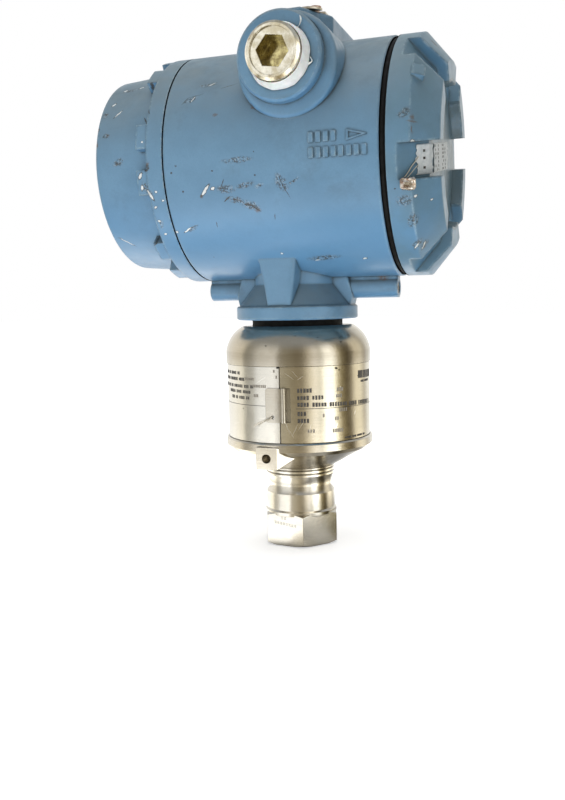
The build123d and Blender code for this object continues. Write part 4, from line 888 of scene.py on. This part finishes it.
torn_tape("tamper_tape_outer", 39.4, 28.4, 1.2, 4.2, 1.0, ("tamper_tape",))
torn_tape("tamper_tape_inner", 24.8, -11.2, 4.0, 2.0, 9.0)
bm = bmesh.new()
for across in (-3.0, 0.4, 3.0):
    dash(bm, 36.4, across, 0.9)
for reach in (20.5, 17.0, 13.5, 3.0, 0.5, -4.0):
    for k in range(7):
        if rng.random() < 0.8:
            dash(bm, reach, -4.6 + 1.5 * k, 0.8)
piece("tamper_tape_marks", bm, "print_ink", "terminal_cap", smooth=False)

# Crimped seal: a squashed slug with pressed grooves, on a short twisted wire.
# Its turn from the slot is in degrees, and its station, its lift off the barrel and its size are in mm.
CRIMP_TURN, CRIMP_X, CRIMP_LIFT = -9.4, 57.7, 1.35
CRIMP_LONG, CRIMP_WIDE, CRIMP_THICK = 2.9, 2.1, 1.05
CRIMP_ROWS, CRIMP_AROUND = 24, 40
crimp_at = math.radians(SLOT_TURN + CRIMP_TURN)
crimp_out = Vector((0, -math.cos(crimp_at), math.sin(crimp_at)))
crimp_side = Vector((0, math.sin(crimp_at), math.cos(crimp_at)))
crimp_centre = centre + crimp_out * (BARREL + CRIMP_LIFT) + Vector((CRIMP_X, 0, 0))


def crimp_place(i, j):
    polar, around = math.pi * (i + 0.5) / CRIMP_ROWS, 2 * math.pi * j / CRIMP_AROUND
    ball = Vector((math.sin(polar) * math.cos(around), math.cos(polar), math.sin(polar) * math.sin(around)))
    squared = Vector([math.copysign(abs(v) ** 0.45, v) for v in ball])
    groove = 0.34 * math.sin(squared.y * 7.5 + squared.x * 2.6)
    dent = 0.42 * noise.noise(squared * 2.6) + 0.16 * noise.noise(squared * 6.0)
    wide = squared.y * CRIMP_WIDE * (1 + dent * 0.6)
    thick = squared.z * (CRIMP_THICK + groove) * (1 + dent)
    return crimp_centre + Vector((squared.x * CRIMP_LONG, 0, 0)) + crimp_side * wide + crimp_out * thick


bm = bmesh.new()
capped(bm, grid(bm, CRIMP_ROWS, CRIMP_AROUND, crimp_place, wrap_columns=True))
piece("crimped_seal", bm, "crimp_copper", "terminal_cap", ("crimp_seal",))
LONG_END = [
    (55.6, -43.9, 149.4), (56.8, -42.2, 151.4), (57.9, -40.9, 153.9), (59.4, -39.6, 156),
    (60.2, -38.9, 157.5),
]
SHORT_END = [(56.9, -43.6, 149.6), (58.4, -41.6, 151.9), (59.5, -40.4, 153.6), (60.3, -39.6, 154.6)]
TAG_WIRE = [
    (-1.1, -31, 58.9), (-1.3, -32.4, 58.9), (-3.4, -33, 58.2), (-5.6, -32.6, 57.1), (-7.8, -31.9, 56.2),
    (-9.5, -31.3, 54.8),
]
wire("seal_wire_long", LONG_END, 0.2, "terminal_cap")
wire("seal_wire_short", SHORT_END, 0.17, "terminal_cap")
wire("tag_wire_cut", TAG_WIRE, 0.28, "module", ("tag_wire",))

# Display face behind the glass: four plain figures of seven segments, a point and a scale of bars.
# The face's station, the first figure's middle and the pitch to the next are in mm.
DISPLAY_FACE, FIRST_Y, FIGURE_Z, FIGURE_PITCH = -49.6, 11.5, 166.0, 7.6
SCALE_Y, SCALE_Z, SCALE_PITCH, SCALE_BARS, SCALE_FULL = 19.2, 155.2, 2.4, 17, 9
# Each segment's place from the figure's middle and its size
SEGMENTS = {
    "a": (0, 4.6, 3.6, 0.9), "b": (-2.3, 2.3, 0.9, 3.7), "c": (-2.3, -2.3, 0.9, 3.7),
    "d": (0, -4.6, 3.6, 0.9), "e": (2.3, -2.3, 0.9, 3.7), "f": (2.3, 2.3, 0.9, 3.7), "g": (0, 0, 3.6, 0.9),
}
FIGURES = ("abged", "afgcd", "abcdef", "fgbc")


def pane(bm, y, z, wide, tall):
    """Thin plate on the display's face."""
    corners = [(y + a * wide / 2, z + b * tall / 2) for a, b in CORNERS]
    block(bm, *([(DISPLAY_FACE + lift, *corner) for corner in corners] for lift in (-0.06, -0.01)))


bm = bmesh.new()
for index, figure in enumerate(FIGURES):
    for segment in figure:
        shift_y, shift_z, wide, tall = SEGMENTS[segment]
        pane(bm, FIRST_Y - FIGURE_PITCH * index + shift_y, FIGURE_Z + shift_z, wide, tall)
pane(bm, 0.1, 161.2, 1.0, 1.0)
for k in range(SCALE_BARS):
    pane(bm, SCALE_Y - SCALE_PITCH * k, SCALE_Z, 1.6, 2.4 if k < SCALE_FULL else 0.5)
piece("display_figures", bm, "print_ink", "housing", smooth=False)

# What metal sees round about it, by degrees from the viewer's side: two pale screens with dark between
STUDIO = [
    (-170, (1.2, 1.2, 1.2)), (-125, (1.4, 1.36, 1.26)), (-102, (1.2, 1.13, 0.96)), (-92, (0.5, 0.48, 0.41)),
    (-78, (0.66, 0.64, 0.58)), (-68, (1.15, 1.15, 1.12)), (-38, (1.35, 1.34, 1.3)),
    (-31, (0.5, 0.46, 0.38)), (-22, (0.48, 0.44, 0.34)), (-4, (0.34, 0.29, 0.2)), (6, (0.4, 0.35, 0.26)),
    (15, (1, 0.92, 0.75)), (24, (1.5, 1.45, 1.35)), (33, (1.15, 1.12, 1.00)), (42, (2.3, 2.3, 2.2)),
    (55, (2.3, 2.3, 2.2)), (61, (1.1, 1, 0.72)), (69, (0.36, 0.3, 0.17)), (80, (0.14, 0.11, 0.06)),
    (88, (0.26, 0.22, 0.15)), (99, (1.2, 1.1, 0.88)), (112, (1.3, 1.22, 1)), (126, (0.75, 0.7, 0.6)),
    (140, (1.2, 1.2, 1.16)),
]


def along_level(g, x, y, direction):
    """How far a point or direction lies along a level direction."""
    return g.plus(g.times(x, direction.x), g.times(y, direction.y))


def studio(g, x, y):
    """The studio's tone in the direction of x and y."""
    turn = g.maths("ARCTAN2", along_level(g, x, y, level_right), along_level(g, x, y, -forward))
    ramp = g.add("ShaderNodeValToRGB", {0: g.plus(g.times(turn, 0.5 / math.pi), 0.5)})
    elements = ramp.color_ramp.elements
    elements.remove(elements[-1])
    for index, (degrees, tone) in enumerate(STUDIO):
        position = degrees / 360 + 0.5
        element = elements.new(position) if index else elements[0]
        element.position = position
        element.color = (*tone, 1)
    return ramp.outputs[0]


def rays(g):
    """Masks of the rays that see a plain white background and of those that metal reflects."""
    path = g.add("ShaderNodeLightPath").outputs
    return g.either(path["Is Camera Ray"], path["Is Transmission Ray"]), path["Is Glossy Ray"]


def floor_look():
    """Pale matte floor, near white to the eye, on which metal sees the studio. Distances are in metres."""
    g = Graph("floor")
    seen, mirrored = rays(g)
    x, y, _ = g.split(g.coords)
    away = g.radius_about(x, y)
    matte = g.add("ShaderNodeBsdfDiffuse", {"Color": (0.86, 0.86, 0.855)})
    glow = g.add("ShaderNodeEmission", {"Strength": g.times(seen, g.span(away, 0.05, 0.3, 0.55, 1.0))})
    plain = g.add("ShaderNodeAddShader", {0: matte.outputs[0], 1: glow.outputs[0]})
    # Near the part the reflection is brighter on the left, and a ring farther out gives the enamel its sheen
    near = g.span(along_level(g, x, y, level_right), -0.012, 0.02, 2.0, 0.3)
    ring = g.times(g.span(away, 0.09, 0.14), g.span(away, 0.18, 0.27, 1.0, 0.0), 1.6)
    strength = g.times(g.span(away, 0.05, 0.1, near, 0.9), g.plus(1.0, ring))
    round_about = g.add("ShaderNodeEmission", {"Color": studio(g, x, y), "Strength": strength})
    far = g.times(mirrored, g.span(away, 0.016, 0.032))
    total = g.add("ShaderNodeMixShader", {0: far, 1: plain.outputs[0], 2: round_about.outputs[0]})
    g.put(g.add("ShaderNodeOutputMaterial").inputs[0], total.outputs[0])
    return g.material


def light_world():
    """White to the eye, the studio to metal, and plain soft light to everything else."""
    world = bpy.data.worlds.new("world")
    scene.world = world
    world.use_nodes = True
    g = Graph("world", tree=world.node_tree)
    seen, mirrored = rays(g)
    x, y, z = g.split(g.direction)
    around = g.mix(g.span(z, 0.3, 0.75), studio(g, x, y), (0.5, 0.52, 0.54))
    glossy = g.add("ShaderNodeBackground", {0: around, 1: 1.0})
    ambient = g.add("ShaderNodeBackground", {0: (1, 1, 1), 1: g.span(z, -0.2, 1.0, 0.34, 0.26)})
    white = g.add("ShaderNodeBackground", {0: (1, 1, 1), 1: 1.0})
    lit = g.add("ShaderNodeMixShader", {0: mirrored, 1: ambient.outputs[0], 2: glossy.outputs[0]})
    shown = g.add("ShaderNodeMixShader", {0: seen, 1: lit.outputs[0], 2: white.outputs[0]})
    g.put(g.add("ShaderNodeOutputWorld").inputs[0], shown.outputs[0])


# Floor, a little under the hexagon's face so that the two don't flicker, in metres
FLOOR_HALF, FLOOR_DROP = 4.0, 0.0004
bm = bmesh.new()
bm.faces.new([bm.verts.new((a * FLOOR_HALF, b * FLOOR_HALF, 0)) for a, b in CORNERS])
floor_mesh = bpy.data.meshes.new("floor")
bm.to_mesh(floor_mesh)
bm.free()
floor_mesh.materials.append(floor_look())
floor = bpy.data.objects.new("floor", floor_mesh)
floor.location.z = -FLOOR_DROP
scene.collection.objects.link(floor)
light_world()


def lamp(name, place, target, size, power, colour=(1, 1, 1)):
    """Soft rectangular lamp that lights the part but isn't mirrored in it."""
    data = bpy.data.lights.new(name, "AREA")
    data.shape = "RECTANGLE"
    data.size, data.size_y = size
    data.energy = power
    data.color = colour
    light = bpy.data.objects.new(name, data)
    light.location = place
    light.rotation_euler = (Vector(target) - Vector(place)).to_track_quat("-Z", "Y").to_euler()
    light.visible_glossy = False
    light.visible_camera = False
    scene.collection.objects.link(light)


lamp("key", (-0.3, -0.95, 0.05), (0, 0, 0.13), (0.8, 0.3), 3.0, (1.0, 0.99, 0.97))
lamp("fill", (0.75, -0.75, 0.3), (0, 0, 0.13), (0.5, 0.5), 0.3)
lamp("low", (0.02, -0.17, 0.004), (0, -0.02, 0.15), (0.45, 0.12), 0.46)
lamp("top", (0, -0.05, 0.85), (0, 0, 0.12), (0.6, 0.6), 4.0)
lamp("back", (0.1, 0.8, 0.8), (0, 0, 0.12), (0.9, 0.6), 3.0)
